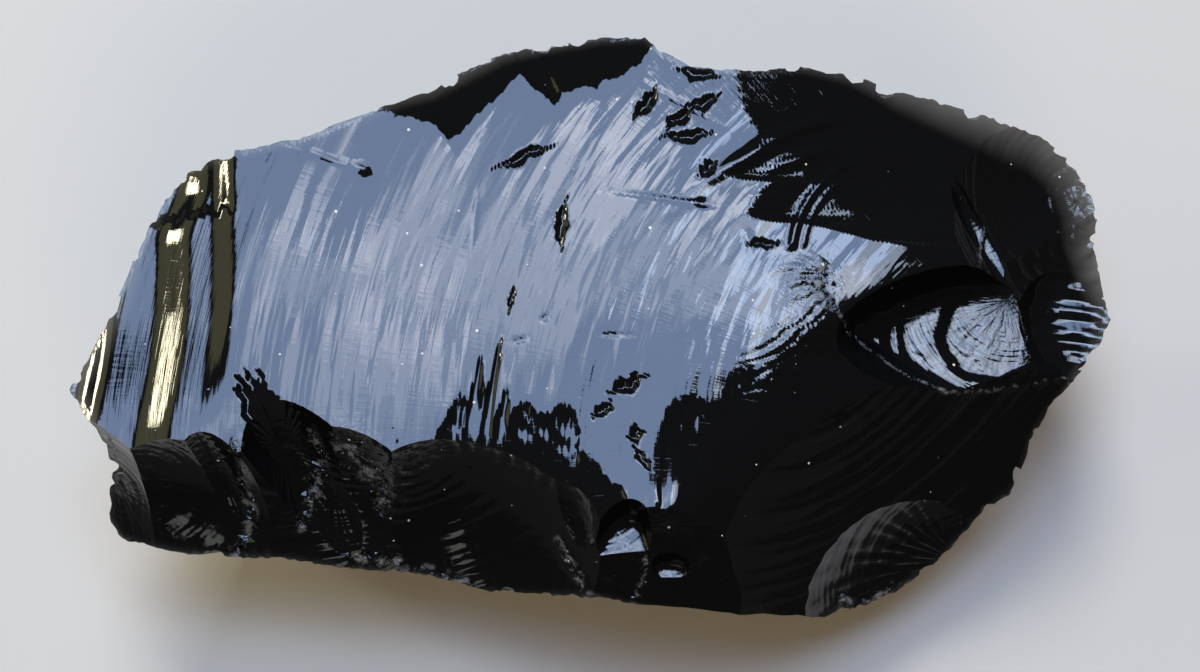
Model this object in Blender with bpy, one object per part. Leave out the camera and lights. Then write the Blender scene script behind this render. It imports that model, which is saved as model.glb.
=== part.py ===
"""A chunk of obsidian, 130 mm long: volcanic glass broken into shell-shaped (conchoidal) faces.

It is one solid stone. A blank is raised from the outline of the widest edge, with flanks that
lean in to a flat base, and each fracture that bounded the real stone is then cut from it in the
order it happened: the broad main face first, the big flakes next, the small edge chips last.
A fracture is a curved sheet that spreads from the point where the stone was struck, with ripples
in rings round that point. Distances below are in millimetres, and MM turns them into metres.
+X runs along the stone, +Y to its back, +Z up. The origin is the middle of the footprint, z = 0
on the flat base.
"""
import math
import random

import bmesh
import bpy
import numpy as np
from mathutils import Matrix, Vector

MM = 0.001

# The outline of the widest edge, seen from above, from the left tip round by the back
RIM = [(-63.7, -8.4), (-58.2, 2.5), (-54.7, 11.8), (-52.9, 15.0), (-50.3, 18.3), (-44.3, 20.2),
       (-36.4, 21.7), (-27.9, 25.4), (-24.9, 27.1), (-21.3, 28.2), (-12.3, 32.6), (-7.4, 33.9),
       (0.0, 34.9), (5.5, 34.8), (7.4, 33.0), (11.0, 31.1), (17.1, 30.4), (24.5, 31.4),
       (30.7, 30.9), (37.0, 29.2), (43.4, 28.1), (55.5, 25.2), (59.2, 22.7), (61.4, 19.6),
       (62.8, 15.7), (62.4, 11.6), (63.8, 2.2), (62.3, -1.1), (55.6, -9.5), (54.0, -12.3),
       (53.4, -15.7), (51.9, -18.6), (49.1, -20.4), (42.8, -27.2), (38.2, -30.3), (31.8, -33.4),
       (30.5, -32.8), (27.4, -34.9), (23.4, -35.9), (17.2, -35.5), (4.9, -33.8), (0.0, -32.8),
       (-12.3, -31.8), (-16.7, -31.2), (-21.0, -29.5), (-30.8, -28.9), (-36.9, -27.9),
       (-45.4, -27.4), (-51.6, -26.9), (-56.2, -26.0), (-59.2, -24.9), (-60.8, -22.4),
       (-60.3, -19.1), (-59.2, -16.9), (-60.3, -13.3)]
BLANK_TOP = 44.0                 # the blank before the main face is struck off
EDGE_THICKNESS = 0.4             # the sharp edge between the upper faces and the flanks
LOWEST_EDGE = 2.5

# The flat base: each of its corners stands in from the edge towards this point
BASE_CENTRE = (-1.0, -6.0)
BASE_SHARE = 0.64                # of the distance from the centre to the edge, at the two ends
BASE_SHARE_FRONT = 0.19          # more at the front, and less at the back

# The main face, a broad and nearly flat fracture struck from the right end
MAIN_STRIKE = (58.0, -18.0)
MAIN_HEIGHT = 38.0

# Steps down at the left end, in rings: distance from the strike point, width and drop
STEPS = [(102.2, 3.2, 1.1), (108.7, 3.2, 1.7), (118.5, 4.0, 2.0)]

# Where the main face rolls over at the front: the flat tongue reaches forward near x = 5
ROLL_X = [-70, -50, -30, -22, -15, -8, -2, 3, 7, 10, 14, 20, 70]
ROLL_Y = [-38, -33, -26, -20, -13, -13.5, -17, -23, -24, -17, -12, -8, -6]

CUTTER_RISE = 90.0               # a cutter reaches this far out of the stone
RING_STEP = 2.75                 # facet size of the large fractures
SEED = 7


def smooth_step(t):
    """0 before 0 and 1 past 1, with a soft S between."""
    t = np.clip(t, 0.0, 1.0)
    return t * t * (3.0 - 2.0 * t)


def past(distance, rounding):
    """How far past zero, with the corner at zero rounded."""
    return rounding * np.logaddexp(0.0, distance / rounding)


def main_face_height(x, y):
    """Height of the main face over the base."""
    ring = np.hypot(x - MAIN_STRIKE[0], y - MAIN_STRIKE[1])
    turn = np.arctan2(y - MAIN_STRIKE[1], x - MAIN_STRIKE[0])
    height = MAIN_HEIGHT - 0.0003 * (x + 12.0) ** 2 - 0.0003 * (y - 6.0) ** 2

    # the right shoulder falls away, but for a level tongue above the scoop
    tongue = 18.0 * np.exp(-((y - 8.8) / 3.8) ** 4)
    shoulder = past(x - 21.0 + 0.03 * (y - 8.0) - tongue, 2.0)
    height = height - 0.13 * shoulder - 0.0028 * shoulder ** 2

    # the left end goes down in steps
    for start, width, drop in STEPS:
        height = height - drop * smooth_step((ring - start - 1.2 * np.sin(9.0 * turn)) / width)

    # the front turns down a little, then rolls over
    brow = np.interp(x, ROLL_X, ROLL_Y)
    height = height - 0.34 * (1.0 - np.exp(-past(brow + 6.0 - y, 0.5) / 2.8))
    over = past(brow - y, 1.5)
    height = height - 0.014 * over ** 2 / (1.0 + 0.02 * over) - 0.022 * past(over - 9.0, 2.0) ** 2

    # a narrow band along the back edge bends away
    band = past(y - 27.0, 0.8)
    reach = smooth_step((12.0 - x) / 6.0) * smooth_step((x + 45.0) / 10.0)
    height = height - 0.020 * band ** 2 * reach

    # broad swells in rings round the strike point
    swell = np.cos(2.0 * np.pi * ring / 13.0 + 1.5 * np.sin(2.3 * turn))
    return height + 0.05 * swell * (0.6 + 0.4 * np.sin(7.0 * turn + 0.05 * ring))


class Fracture:
    """A shell-shaped sheet: hollow over its middle, rippled in rings round the strike point."""

    def __init__(self, name, strike, middle, facing, radii, depth, ripple, power=2.0, twist=0.0,
                 relief=None):
        heading, pitch = (math.radians(angle) for angle in facing)
        outward = Vector((math.cos(heading) * math.cos(pitch),
                          math.sin(heading) * math.cos(pitch), math.sin(pitch)))
        run = Vector(middle) - Vector(strike)
        run = run - run.dot(outward) * outward
        along = run.normalized()
        across = outward.cross(along)
        self.name = name
        self.middle = np.array(middle, float)
        self.axes = np.array([along, across, outward])
        self.strike_distance = run.length
        self.radii = radii
        self.depth = depth
        self.ripple_length, self.ripple_height = ripple
        self.power = power
        self.twist = math.radians(twist)
        self.relief = relief
        self.phase = 0.37 * sum(ord(letter) for letter in name)

    def height(self, along, across):
        """Height of the sheet over its own plane."""
        long_way = along * math.cos(self.twist) + across * math.sin(self.twist)
        short_way = across * math.cos(self.twist) - along * math.sin(self.twist)
        reach = (long_way / self.radii[0]) ** 2 + (short_way / self.radii[1]) ** 2
        hollow = self.depth * (np.minimum(reach, 1.0) ** (self.power / 2.0) - 1.0)
        rising = self.depth * self.power / 2.0 * np.maximum(reach - 1.0, 0.0)
        ring = np.hypot(along + self.strike_distance, across)
        turn = np.arctan2(across, along + self.strike_distance)
        wave = 2.0 * np.pi * ring / self.ripple_length + 0.6 * np.sin(3.0 * turn + self.phase)
        strength = 0.55 + 0.45 * np.sin(5.0 * turn + 0.21 * ring + self.phase)
        total = hollow + rising + self.ripple_height * strength * np.cos(wave)
        if self.relief:
            at = self.to_world(np.stack([along, across, 0.0 * along], axis=-1))
            total = total + self.relief(at[..., 0], at[..., 1])
        return total

    def to_local(self, points):
        return (points - self.middle) @ self.axes.T

    def to_world(self, points):
        return points @ self.axes + self.middle

    def height_over(self, x, y):
        """Height over the base where the upright line at x, y meets the sheet."""
        drop = np.linspace(BLANK_TOP, -5.0, 197)
        line = np.stack([np.full_like(drop, x), np.full_like(drop, y), drop], axis=1)
        here = self.to_local(line)
        gap = here[:, 2] - self.height(here[:, 0], here[:, 1])
        under = np.nonzero(gap < 0.0)[0]
        if len(under) == 0:
            return drop[-1]
        first = under[0]
        if first == 0:
            return BLANK_TOP
        share = gap[first - 1] / (gap[first - 1] - gap[first])
        return drop[first - 1] + (drop[first] - drop[first - 1]) * share


class MainFace(Fracture):
    """The main face is given as a height over the base, on rings round its strike point."""

    def __init__(self):
        self.name = "main_face"
        self.middle = np.array((MAIN_STRIKE[0], MAIN_STRIKE[1], 0.0))
        self.axes = np.eye(3)
        self.strike_distance = 0.0

    def height(self, along, across):
        return main_face_height(along + MAIN_STRIKE[0], across + MAIN_STRIKE[1])

    def height_over(self, x, y):
        return float(main_face_height(x, y))


def scoop_floor(x, y):
    """A level disc, a step round it, a level crescent, and a slow rise to the nose."""
    ring = np.hypot(x - 48.6, y - 1.2)
    rise = 0.46 * smooth_step((ring - 5.3) / 2.3) + 0.15 * past(ring - 11.2, 0.25)
    wall = 0.9 * past(-0.489 * (x - 42.3) - 0.872 * (y + 7.9) + 0.6, 0.3)
    return rise + wall + 0.40 * past(x - 50.7 + 0.55 * past(y - 1.5, 0.5), 0.12)


# name, strike point, middle, facing (heading and pitch in degrees), radii, depth, (ripple
# length and height), in the order they were struck; power squares off the hollow's floor and
# twist turns its long way from the line that runs out of the strike point
UPPER_FLAKES = [
    Fracture("front_wall", (8, -25, 36), (9, -29, 32.4), (-88, 44), (15, 13), 0.8, (5.0, 0.05)),
    Fracture("lower_right", (22, 4, 36.5), (41, -20, 23), (-58, 46.5), (27, 20), 2.6,
             (5.0, 0.06)),
    Fracture("scoop", (50.2, 3.6, 30), (46.5, -3.0, 36.5), (0, 90), (20.5, 9.9), 7.6, (3.9, 0.0),
             power=12.0, twist=-53.0, relief=scoop_floor),
    Fracture("right_hollow", (62, 18, 30), (53.5, 14, 30), (20, 66), (12, 12), 3.0, (3.2, 0.08)),
    Fracture("right_facet", (61, 13, 28), (56, 10.5, 27.4), (-17, 61), (8, 6), 1.0, (3.2, 0.05)),
    Fracture("right_ledge", (61, 16, 28), (59.8, 2.0, 27.5), (180, 87), (8.8, 8.6), 3.2,
             (3.2, 0.0), power=6.0),
    Fracture("front_left", (-56, -19, 31), (-49.5, -21.5, 29.5), (-94, 44), (10.5, 8), 1.8,
             (3.0, 0.04)),
    Fracture("front_corner", (-60, -20, 27), (-60, -21.5, 23), (-140, 36), (5, 9), 0.8,
             (3.0, 0.04)),
    Fracture("front_chip_a", (-38, -16, 36), (-36, -22, 29.4), (-82, 45), (8, 6), 1.0, (3, 0.05)),
    Fracture("front_chip_b", (-30, -15, 37), (-28, -22, 29.4), (-112, 47), (8, 5), 1.2,
             (3, 0.05)),
    Fracture("front_chip_c", (-22, -18, 36), (-22.5, -24, 27.4), (-66, 46), (7, 5), 0.9,
             (3, 0.05)),
    Fracture("crescent_chip", (-1.5, -24, 34), (-2.6, -27.8, 32.4), (-165, 52), (4.2, 2.6), 1.0,
             (3.0, 0.0)),
    Fracture("ledge_chip", (0, -21, 34), (3.0, -28.2, 36), (90, 86), (4.6, 4.0), 3.7, (3.0, 0.0),
             power=9.0),
    Fracture("small_ledge_chip", (9, -25, 32), (8.4, -30.6, 32), (80, 85), (2.9, 2.3), 2.2,
             (3.0, 0.0), power=7.0),
    Fracture("corner_fan", (46, -26, 10), (39.5, -28, 13.6), (-58, 55), (7.5, 7), 1.4,
             (3.0, 0.04)),
]

# flakes struck off the flanks: name, heading from the base centre, half width and depth
FLANK_FLAKES = [("left_flank", 172, 18.0, 2.4), ("left_back_flank", 140, 16.0, 2.4),
                ("back_left_flank", 112, 18.0, 2.8), ("back_flank", 84, 17.0, 2.4),
                ("back_right_flank", 50, 16.0, 2.4), ("right_flank", 12, 15.0, 2.4),
                ("right_front_flank", -25, 13.0, 1.6), ("front_right_flank", -60, 16.0, 0.9),
                ("front_flank", -100, 18.0, 1.4), ("front_left_flank", -145, 18.0, 1.8)]

# chips knocked off the sharp edge later on
EDGE_CHIPS = 26
CHIP_WIDTH = (1.6, 3.4)


def base_point(x, y):
    """The corner of the flat base that belongs to a point of the edge."""
    angle = math.atan2((y - BASE_CENTRE[1]) / 30.0, (x - BASE_CENTRE[0]) / 62.0)
    share = BASE_SHARE - BASE_SHARE_FRONT * math.sin(angle) + 0.02 * math.cos(3.0 * angle)
    return Vector((BASE_CENTRE[0] + (x - BASE_CENTRE[0]) * share,
                   BASE_CENTRE[1] + (y - BASE_CENTRE[1]) * share, 0.0))


def edge_points(upper):
    """The outline lifted to just under the upper faces."""
    points = []
    for x, y in RIM:
        lowest = min(sheet.height_over(x, y) for sheet in upper)
        points.append(Vector((x, y, max(lowest - EDGE_THICKNESS, LOWEST_EDGE))))
    return points


def edge_at(edge, heading):
    """The point of the edge that lies in a heading from the base centre."""
    course = Vector((math.cos(math.radians(heading)), math.sin(math.radians(heading))))
    for start, end in zip(edge, edge[1:] + edge[:1]):
        a = start.xy - Vector(BASE_CENTRE)
        b = end.xy - Vector(BASE_CENTRE)
        side_a = course.cross(a)
        side_b = course.cross(b)
        if side_a * side_b <= 0.0 and side_a != side_b and course.dot(a) > 0.0:
            return start.lerp(end, side_a / (side_a - side_b))
    raise ValueError("the edge does not pass this heading")


def flank_flake(edge, name, heading, half_width, depth):
    """A hollow flake scar that runs from the edge down the flank to the base."""
    top = edge_at(edge, heading)
    foot = base_point(top.x, top.y)
    along_edge = edge_at(edge, heading + 6.0) - edge_at(edge, heading - 6.0)
    outward = (foot - top).cross(along_edge).normalized()
    middle = top.lerp(foot, 0.5)
    if outward.xy.dot(middle.xy - Vector(BASE_CENTRE)) < 0.0:
        outward.negate()
    facing = (math.degrees(math.atan2(outward.y, outward.x)), math.degrees(math.asin(outward.z)))
    half_height = (foot - top).length / 2.0
    return Fracture(name, top, middle, facing, (half_height, half_width), depth, (7.0, 0.1))


def edge_chips(edge):
    """Where the small chips are, as a middle, a way out of the stone and a width."""
    dice = random.Random(SEED)
    chips = []
    for _ in range(EDGE_CHIPS):
        place = dice.random() * len(edge)
        start = edge[int(place)]
        end = edge[(int(place) + 1) % len(edge)]
        course = (end - start).normalized()
        outward = Vector((course.y, -course.x, dice.choice((-0.6, 0.7)) + dice.uniform(-0.2, 0.2)))
        if outward.xy.dot(start.xy - Vector(BASE_CENTRE)) < 0.0:
            outward.xy = -outward.xy
        chips.append((start.lerp(end, place - int(place)), outward.normalized(),
                      dice.uniform(*CHIP_WIDTH)))
    return chips


def new_object(name, mesh, collection):
    thing = bpy.data.objects.new(name, mesh)
    collection.objects.link(thing)
    return thing


def new_cutter(mesh, collection):
    cutter = new_object(mesh.name, mesh, collection)
    cutter.hide_render = True
    cutter.display_type = "WIRE"
    return cutter


def make_blank(name, edge, collection):
    """Flat base, flanks that lean out to the edge, and upright walls above it."""
    mesh = bpy.data.meshes.new(name)
    shape = bmesh.new()
    base = [shape.verts.new(base_point(p.x, p.y) * MM) for p in edge]
    rim = [shape.verts.new(p * MM) for p in edge]
    top = [shape.verts.new(Vector((p.x, p.y, BLANK_TOP)) * MM) for p in edge]
    shape.faces.new(base)
    shape.faces.new(top)
    for lower, upper in ((base, rim), (rim, top)):
        for i in range(len(edge)):
            j = (i + 1) % len(edge)
            shape.faces.new((lower[i], lower[j], upper[j], upper[i]))
    bmesh.ops.recalc_face_normals(shape, faces=shape.faces[:])
    shape.to_mesh(mesh)
    shape.free()
    return new_object(name, mesh, collection)


def make_cutter(sheet, corners, collection):
    """A closed solid over a fracture sheet, laid out in rings and rays from the strike point."""
    spots = sheet.to_local(corners)
    low = spots.min(axis=0) - 2.0
    high = spots.max(axis=0) + 2.0
    step = RING_STEP
    low_x = low[0] + sheet.strike_distance
    high_x = high[0] + sheet.strike_distance
    near = math.hypot(max(low_x, 0.0, -high_x), max(low[1], 0.0, -high[1]))
    far = math.hypot(max(abs(low_x), abs(high_x)), max(abs(low[1]), abs(high[1])))
    rings = np.arange(max(0.5 * step, near - step), far + step, step)
    middle_ring = max(sheet.strike_distance, 8.0) if sheet.strike_distance else 60.0
    rays = max(16, int(2.0 * math.pi * middle_ring / step))
    turns = np.arange(rays) * 2.0 * math.pi / rays

    shape = bmesh.new()
    grid = {}

    def corner(i, j):
        key = (i, j % rays)
        if key not in grid:
            along = rings[i] * math.cos(turns[key[1]]) - sheet.strike_distance
            across = rings[i] * math.sin(turns[key[1]])
            point = np.array([along, across, float(sheet.height(along, across))])
            grid[key] = shape.verts.new(sheet.to_world(point) * MM)
        return grid[key]

    def needed(i, j):
        along = rings[i] * math.cos(turns[j % rays]) - sheet.strike_distance
        across = rings[i] * math.sin(turns[j % rays])
        inside = low[0] - step < along < high[0] + step and low[1] - step < across < high[1] + step
        return inside and float(sheet.height(along, across)) < high[2] + 2.0

    for i in range(len(rings) - 1):
        for j in range(rays):
            spots = ((i, j), (i + 1, j), (i + 1, j + 1), (i, j + 1))
            if any(needed(*spot) for spot in spots):
                shape.faces.new([corner(*spot) for spot in spots])
    if near == 0.0:
        hub = np.array([-sheet.strike_distance, 0.0,
                        float(sheet.height(-sheet.strike_distance, 0.0))])
        if all((0, j) in grid for j in range(rays)):
            centre = shape.verts.new(sheet.to_world(hub) * MM)
            for j in range(rays):
                shape.faces.new((centre, corner(0, j), corner(0, j + 1)))
    lid = bmesh.ops.extrude_face_region(shape, geom=shape.faces[:], use_keep_orig=True)
    raised = [part for part in lid["geom"] if isinstance(part, bmesh.types.BMVert)]
    bmesh.ops.translate(shape, verts=raised, vec=Vector(sheet.axes[2]) * CUTTER_RISE * MM)
    bmesh.ops.recalc_face_normals(shape, faces=shape.faces[:])
    mesh = bpy.data.meshes.new(sheet.name)
    shape.to_mesh(mesh)
    shape.free()
    return new_cutter(mesh, collection)


def make_chip_cutter(number, middle, outward, width, collection):
    """A small egg-shaped solid that leaves a hollow chip in the edge."""
    shape = bmesh.new()
    bmesh.ops.create_icosphere(shape, subdivisions=2, radius=1.0)
    turn = outward.to_track_quat("Z", "Y").to_matrix().to_4x4()
    size = Matrix.Diagonal((width, width, 0.7 * width, 1.0))
    place = Matrix.Translation(middle + outward * 0.35 * width)
    bmesh.ops.transform(shape, verts=shape.verts[:], matrix=Matrix.Scale(MM, 4) @ place @ turn @ size)
    mesh = bpy.data.meshes.new(f"edge_chip_{number}")
    shape.to_mesh(mesh)
    shape.free()
    return new_cutter(mesh, collection)


def cut(stone, cutter):
    """Take the cutter's space off the stone."""
    boolean = stone.modifiers.new("cut", "BOOLEAN")
    boolean.operation = "DIFFERENCE"
    boolean.solver = "EXACT"
    boolean.object = cutter
    with bpy.context.temp_override(object=stone, active_object=stone):
        bpy.ops.object.modifier_apply(modifier=boolean.name)


def drop_splinters(stone):
    """Keep the stone itself where a cut has left a loose splinter beside it."""
    shape = bmesh.new()
    shape.from_mesh(stone.data)
    unseen = set(shape.verts)
    pieces = []
    while unseen:
        piece = {unseen.pop()}
        front = list(piece)
        while front:
            vertex = front.pop()
            for edge in vertex.link_edges:
                other = edge.other_vert(vertex)
                if other in unseen:
                    unseen.remove(other)
                    piece.add(other)
                    front.append(other)
        pieces.append(piece)
    pieces.sort(key=len)
    for piece in pieces[:-1]:
        bmesh.ops.delete(shape, geom=list(piece), context="VERTS")
    shape.to_mesh(stone.data)
    shape.free()


def centre_on_base(stone):
    """Move the mesh so that the footprint's middle is the origin and the base is z = 0."""
    spots = np.array([vertex.co for vertex in stone.data.vertices])
    low = spots.min(axis=0)
    high = spots.max(axis=0)
    for vertex in stone.data.vertices:
        vertex.co.x -= (low[0] + high[0]) / 2.0
        vertex.co.y -= (low[1] + high[1]) / 2.0
        vertex.co.z -= low[2]


def obsidian():
    """Black volcanic glass, glossy all over."""
    material = bpy.data.materials.new("obsidian")
    material.use_nodes = True
    shader = material.node_tree.nodes["Principled BSDF"]
    shader.inputs["Base Color"].default_value = (0.008, 0.008, 0.009, 1.0)
    shader.inputs["Roughness"].default_value = 0.06
    shader.inputs["Metallic"].default_value = 0.0
    shader.inputs["IOR"].default_value = 1.49
    return material


def main():
    for thing in list(bpy.data.objects):
        bpy.data.objects.remove(thing)
    parts = bpy.data.collections.new("obsidian_chunk_parts")
    cutters = bpy.data.collections.new("cutters")
    bpy.context.scene.collection.children.link(parts)
    bpy.context.scene.collection.children.link(cutters)

    upper = [MainFace()] + UPPER_FLAKES
    edge = edge_points(upper)
    lower = [flank_flake(edge, *row) for row in FLANK_FLAKES]
    corners = np.array([(p.x, p.y, z) for p in edge for z in (-0.5, BLANK_TOP + 0.5)])

    stone = make_blank("obsidian_chunk", edge, parts)
    for sheet in upper + lower:
        cut(stone, make_cutter(sheet, corners, cutters))
    for number, chip in enumerate(edge_chips(edge)):
        cut(stone, make_chip_cutter(number, *chip, cutters))
    drop_splinters(stone)
    centre_on_base(stone)
    stone.data.materials.append(obsidian())
    faces = sum(len(face.vertices) - 2 for face in stone.data.polygons)
    print("obsidian_chunk", [round(size / MM, 1) for size in stone.dimensions], faces, "triangles")


main()
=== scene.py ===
# %% [markdown]
# # A chunk of obsidian
# Obsidian is volcanic glass. It has no grain, so it breaks as thick bottle glass does: every blow
# sends a curved crack out from the struck point, and each crack leaves a shell-shaped hollow.
# Where two hollows meet there is a sharp ridge, and the thin outer edge lets a little light in.
#
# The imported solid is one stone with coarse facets. It could be smoothed with a subdivision
# surface, but that would round every ridge off. This lesson cuts the same stone a second time,
# with the same blows on a much finer grid, so ridges stay sharp and hollows get their ripples.

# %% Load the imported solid
import math
import random

import bmesh
import bpy
import numpy as np
from mathutils import Matrix, Vector


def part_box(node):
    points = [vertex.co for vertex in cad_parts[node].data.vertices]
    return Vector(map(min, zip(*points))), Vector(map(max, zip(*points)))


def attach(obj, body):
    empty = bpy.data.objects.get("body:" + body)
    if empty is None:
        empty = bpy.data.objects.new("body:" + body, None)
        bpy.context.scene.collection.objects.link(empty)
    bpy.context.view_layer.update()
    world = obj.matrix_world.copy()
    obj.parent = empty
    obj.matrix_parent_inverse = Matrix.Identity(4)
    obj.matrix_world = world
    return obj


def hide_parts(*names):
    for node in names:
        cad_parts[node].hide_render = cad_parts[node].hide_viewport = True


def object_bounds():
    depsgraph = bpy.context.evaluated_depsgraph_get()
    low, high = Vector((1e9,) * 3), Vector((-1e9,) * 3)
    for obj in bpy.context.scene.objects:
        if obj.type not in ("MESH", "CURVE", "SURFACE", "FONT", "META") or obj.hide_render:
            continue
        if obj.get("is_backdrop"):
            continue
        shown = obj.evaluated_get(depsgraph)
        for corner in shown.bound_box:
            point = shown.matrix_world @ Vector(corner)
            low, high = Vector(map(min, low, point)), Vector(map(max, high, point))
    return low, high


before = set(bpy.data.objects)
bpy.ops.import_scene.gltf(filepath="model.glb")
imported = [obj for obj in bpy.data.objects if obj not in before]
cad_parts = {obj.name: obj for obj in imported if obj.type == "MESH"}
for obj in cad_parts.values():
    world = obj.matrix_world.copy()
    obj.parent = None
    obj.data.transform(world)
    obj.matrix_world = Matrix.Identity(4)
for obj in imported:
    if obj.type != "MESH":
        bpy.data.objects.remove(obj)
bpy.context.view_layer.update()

MM = 0.001
stone_low, stone_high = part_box("obsidian_chunk")
print("packed stone, mm:", [round((b - a) / MM, 1) for a, b in zip(stone_low, stone_high)])

# %% [markdown]
# ## The outline and a few curves
# The widest edge of the stone is drawn first, as seen from above. All work is in millimetres.
# A few small functions shape everything that follows: a soft step, a rounded corner, a wavering
# line and a low hill. A noise texture with displacement would be another way, but plain functions
# give the exact slope at every point, and on a mirror-black stone the slopes are what one sees.

# %% Outline and curves
RIM = [(-63.7, -8.4), (-58.2, 2.5), (-54.7, 11.8), (-52.9, 15.0), (-50.3, 18.3), (-44.3, 20.2),
       (-36.4, 21.7), (-27.9, 25.4), (-24.9, 27.1), (-21.3, 28.2), (-12.3, 32.6), (-7.4, 33.9),
       (0.0, 34.9), (5.5, 34.8), (7.4, 33.0), (11.0, 31.1), (17.1, 30.4), (24.5, 31.4),
       (30.7, 30.9), (37.0, 29.2), (43.4, 28.1), (55.5, 25.2), (59.2, 22.7), (61.4, 19.6),
       (62.8, 15.7), (62.4, 11.6), (63.8, 2.2), (62.3, -1.1), (55.6, -9.5), (54.0, -12.3),
       (53.4, -15.7), (51.9, -18.6), (49.1, -20.4), (42.8, -27.2), (38.2, -30.3), (31.8, -33.4),
       (30.5, -32.8), (27.4, -34.9), (23.4, -35.9), (17.2, -35.5), (4.9, -33.8), (0.0, -32.8),
       (-12.3, -31.8), (-16.7, -31.2), (-21.0, -29.5), (-30.8, -28.9), (-36.9, -27.9),
       (-45.4, -27.4), (-51.6, -26.9), (-56.2, -26.0), (-59.2, -24.9), (-60.8, -22.4),
       (-60.3, -19.1), (-59.2, -16.9), (-60.3, -13.3)]
BASE_CENTRE = (-1.0, -6.0)


def soft_step(t):
    """0 before 0 and 1 past 1, with a soft S between."""
    t = np.clip(t, 0.0, 1.0)
    return t * t * (3.0 - 2.0 * t)


def past(distance, rounding):
    """How far past zero, with the corner at zero rounded."""
    return rounding * np.logaddexp(0.0, distance / rounding)


def waver(t, seed, length):
    """A line that wanders between about -1 and 1, in waves near the given length."""
    dice = random.Random(seed)
    total = 0.0
    for share in (1.0, 0.6, 0.38, 0.24):
        turns = 2.0 * math.pi * dice.uniform(0.8, 1.25) / (length * share)
        total = total + share * np.sin(turns * t + dice.uniform(0.0, 6.28))
    return total / 1.6


def blob(x, y, middle, radii, heading=0.0):
    """1 at the middle, fading out to an ellipse of these radii."""
    a = math.radians(heading)
    along = (x - middle[0]) * math.cos(a) + (y - middle[1]) * math.sin(a)
    across = (y - middle[1]) * math.cos(a) - (x - middle[0]) * math.sin(a)
    return np.exp(-(along / radii[0]) ** 2 - (across / radii[1]) ** 2)


def hills(places, x, y):
    """The sum of blobs, each given by its middle, two radii, heading and height."""
    return sum(rise * blob(x, y, middle, radii, heading) for middle, radii, heading, rise in places)


print("outline points:", len(RIM))

# %% [markdown]
# ## The main face
# The broad top is one great crack, struck from the right end. On the real stone it is almost
# flat, so it mirrors the sky, and each slight roll shows as a streak. It steps down at the left
# end, rolls over at the front and falls away at the right shoulder. It could be sculpted, but a
# height written as a sum of named features can be read, measured and changed one at a time.

# %% Height of the main face
MAIN_STRIKE = (58.0, -18.0)
MAIN_HEIGHT = 38.0
CROWN_MIDDLE = (-12.0, 6.0)
CROWN = 0.0003
LEFT_END = -44.0
# waves in rings round the strike point: length from crest to crest, and height
SWELL = (13.0, 0.050)
RIPPLE = (2.9, 0.010)
RIGHT_RIPPLE = (3.7, 0.020)

# where the face starts to roll down at the front, from left to right
ROLL = [(-70, -38), (-50, -33), (-30, -26), (-22, -20), (-15, -13), (-8, -13.5), (-2, -17),
        (3, -23), (7, -24), (10, -17), (14, -12), (20, -8), (70, -6)]

# where the face turns dark at the front: tall narrow flutes, like the edge of torn paper
FLUTES = [(-70, -36), (-52, -34), (-30, -26.5), (-25.5, -25), (-24, -22.6), (-22.4, -19.8),
          (-21, -16.2), (-20.2, -16.8), (-19.4, -16.1), (-18.3, -15), (-17.3, -12.4),
          (-16.7, -10.4), (-16.2, -9.9), (-15.4, -10.1), (-15.1, -10.8), (-14.9, -8.6),
          (-14.8, -6.2), (-14.5, -4.9), (-14.2, -5.8), (-13.9, -7.4), (-13.4, -9), (-13.0, -8.6),
          (-12.9, -7.2), (-12.7, -4.0), (-12.5, -2.0), (-12.2, -5.0), (-12.0, -8.8),
          (-11.75, -12.4), (-11.3, -11.4), (-10.9, -8.3), (-10.4, -9.6), (-9.9, -12.2),
          (-9.2, -11.4), (-8.4, -10.4), (-7.5, -11.0), (-6.5, -12.2), (-5.3, -11.9),
          (-4.2, -11.1), (-3.0, -11.1), (-2.3, -12.0), (-1.6, -13.0), (-1.2, -14.6),
          (-0.9, -16.6), (0.6, -18.5), (1.5, -20.6), (2.6, -20.4), (3.2, -22.4), (4.7, -24.0),
          (6.4, -23.9), (6.7, -22.8), (7.0, -17.6), (7.2, -14.2), (7.9, -11.8), (9.0, -10.7),
          (10.0, -10.0), (11.3, -9.9), (12.3, -10.7), (13.5, -11.0), (14.3, -10.5), (14.7, -9.2),
          (15.2, -7.7), (16.6, -6.6), (18.2, -6.6), (18.8, -7.6), (20, -8.2), (40, -9)]

# where it turns dark on the right, from front to back: a tongue of light, then blunt teeth
TONGUE = [(-12, 19), (-8, 19.5), (-5, 21), (-2, 25), (1.0, 30), (3.5, 36), (5.5, 40),
          (7.0, 39.8), (7.8, 38.8), (8.6, 37), (9.2, 32.8), (9.9, 30.4), (10.4, 28), (11.0, 26.4),
          (11.4, 22), (11.7, 18.4), (12.4, 17.6), (13.8, 18.4), (15.1, 19.2), (16.4, 20.8),
          (16.8, 17), (17.2, 14.6), (18.6, 17), (20, 19), (22, 19.5), (24, 18.5), (26, 17.5),
          (28, 17.0), (34, 16)]

# where it begins to fall away to the right, from front to back
SHOULDER = [(-16, 19), (-9, 20), (-5, 22), (-2, 25.5), (1, 30), (3.5, 35), (6, 38.5), (8.5, 38.5),
            (11, 35.5), (14, 30), (18, 25.5), (23, 22.5), (34, 20)]

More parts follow.
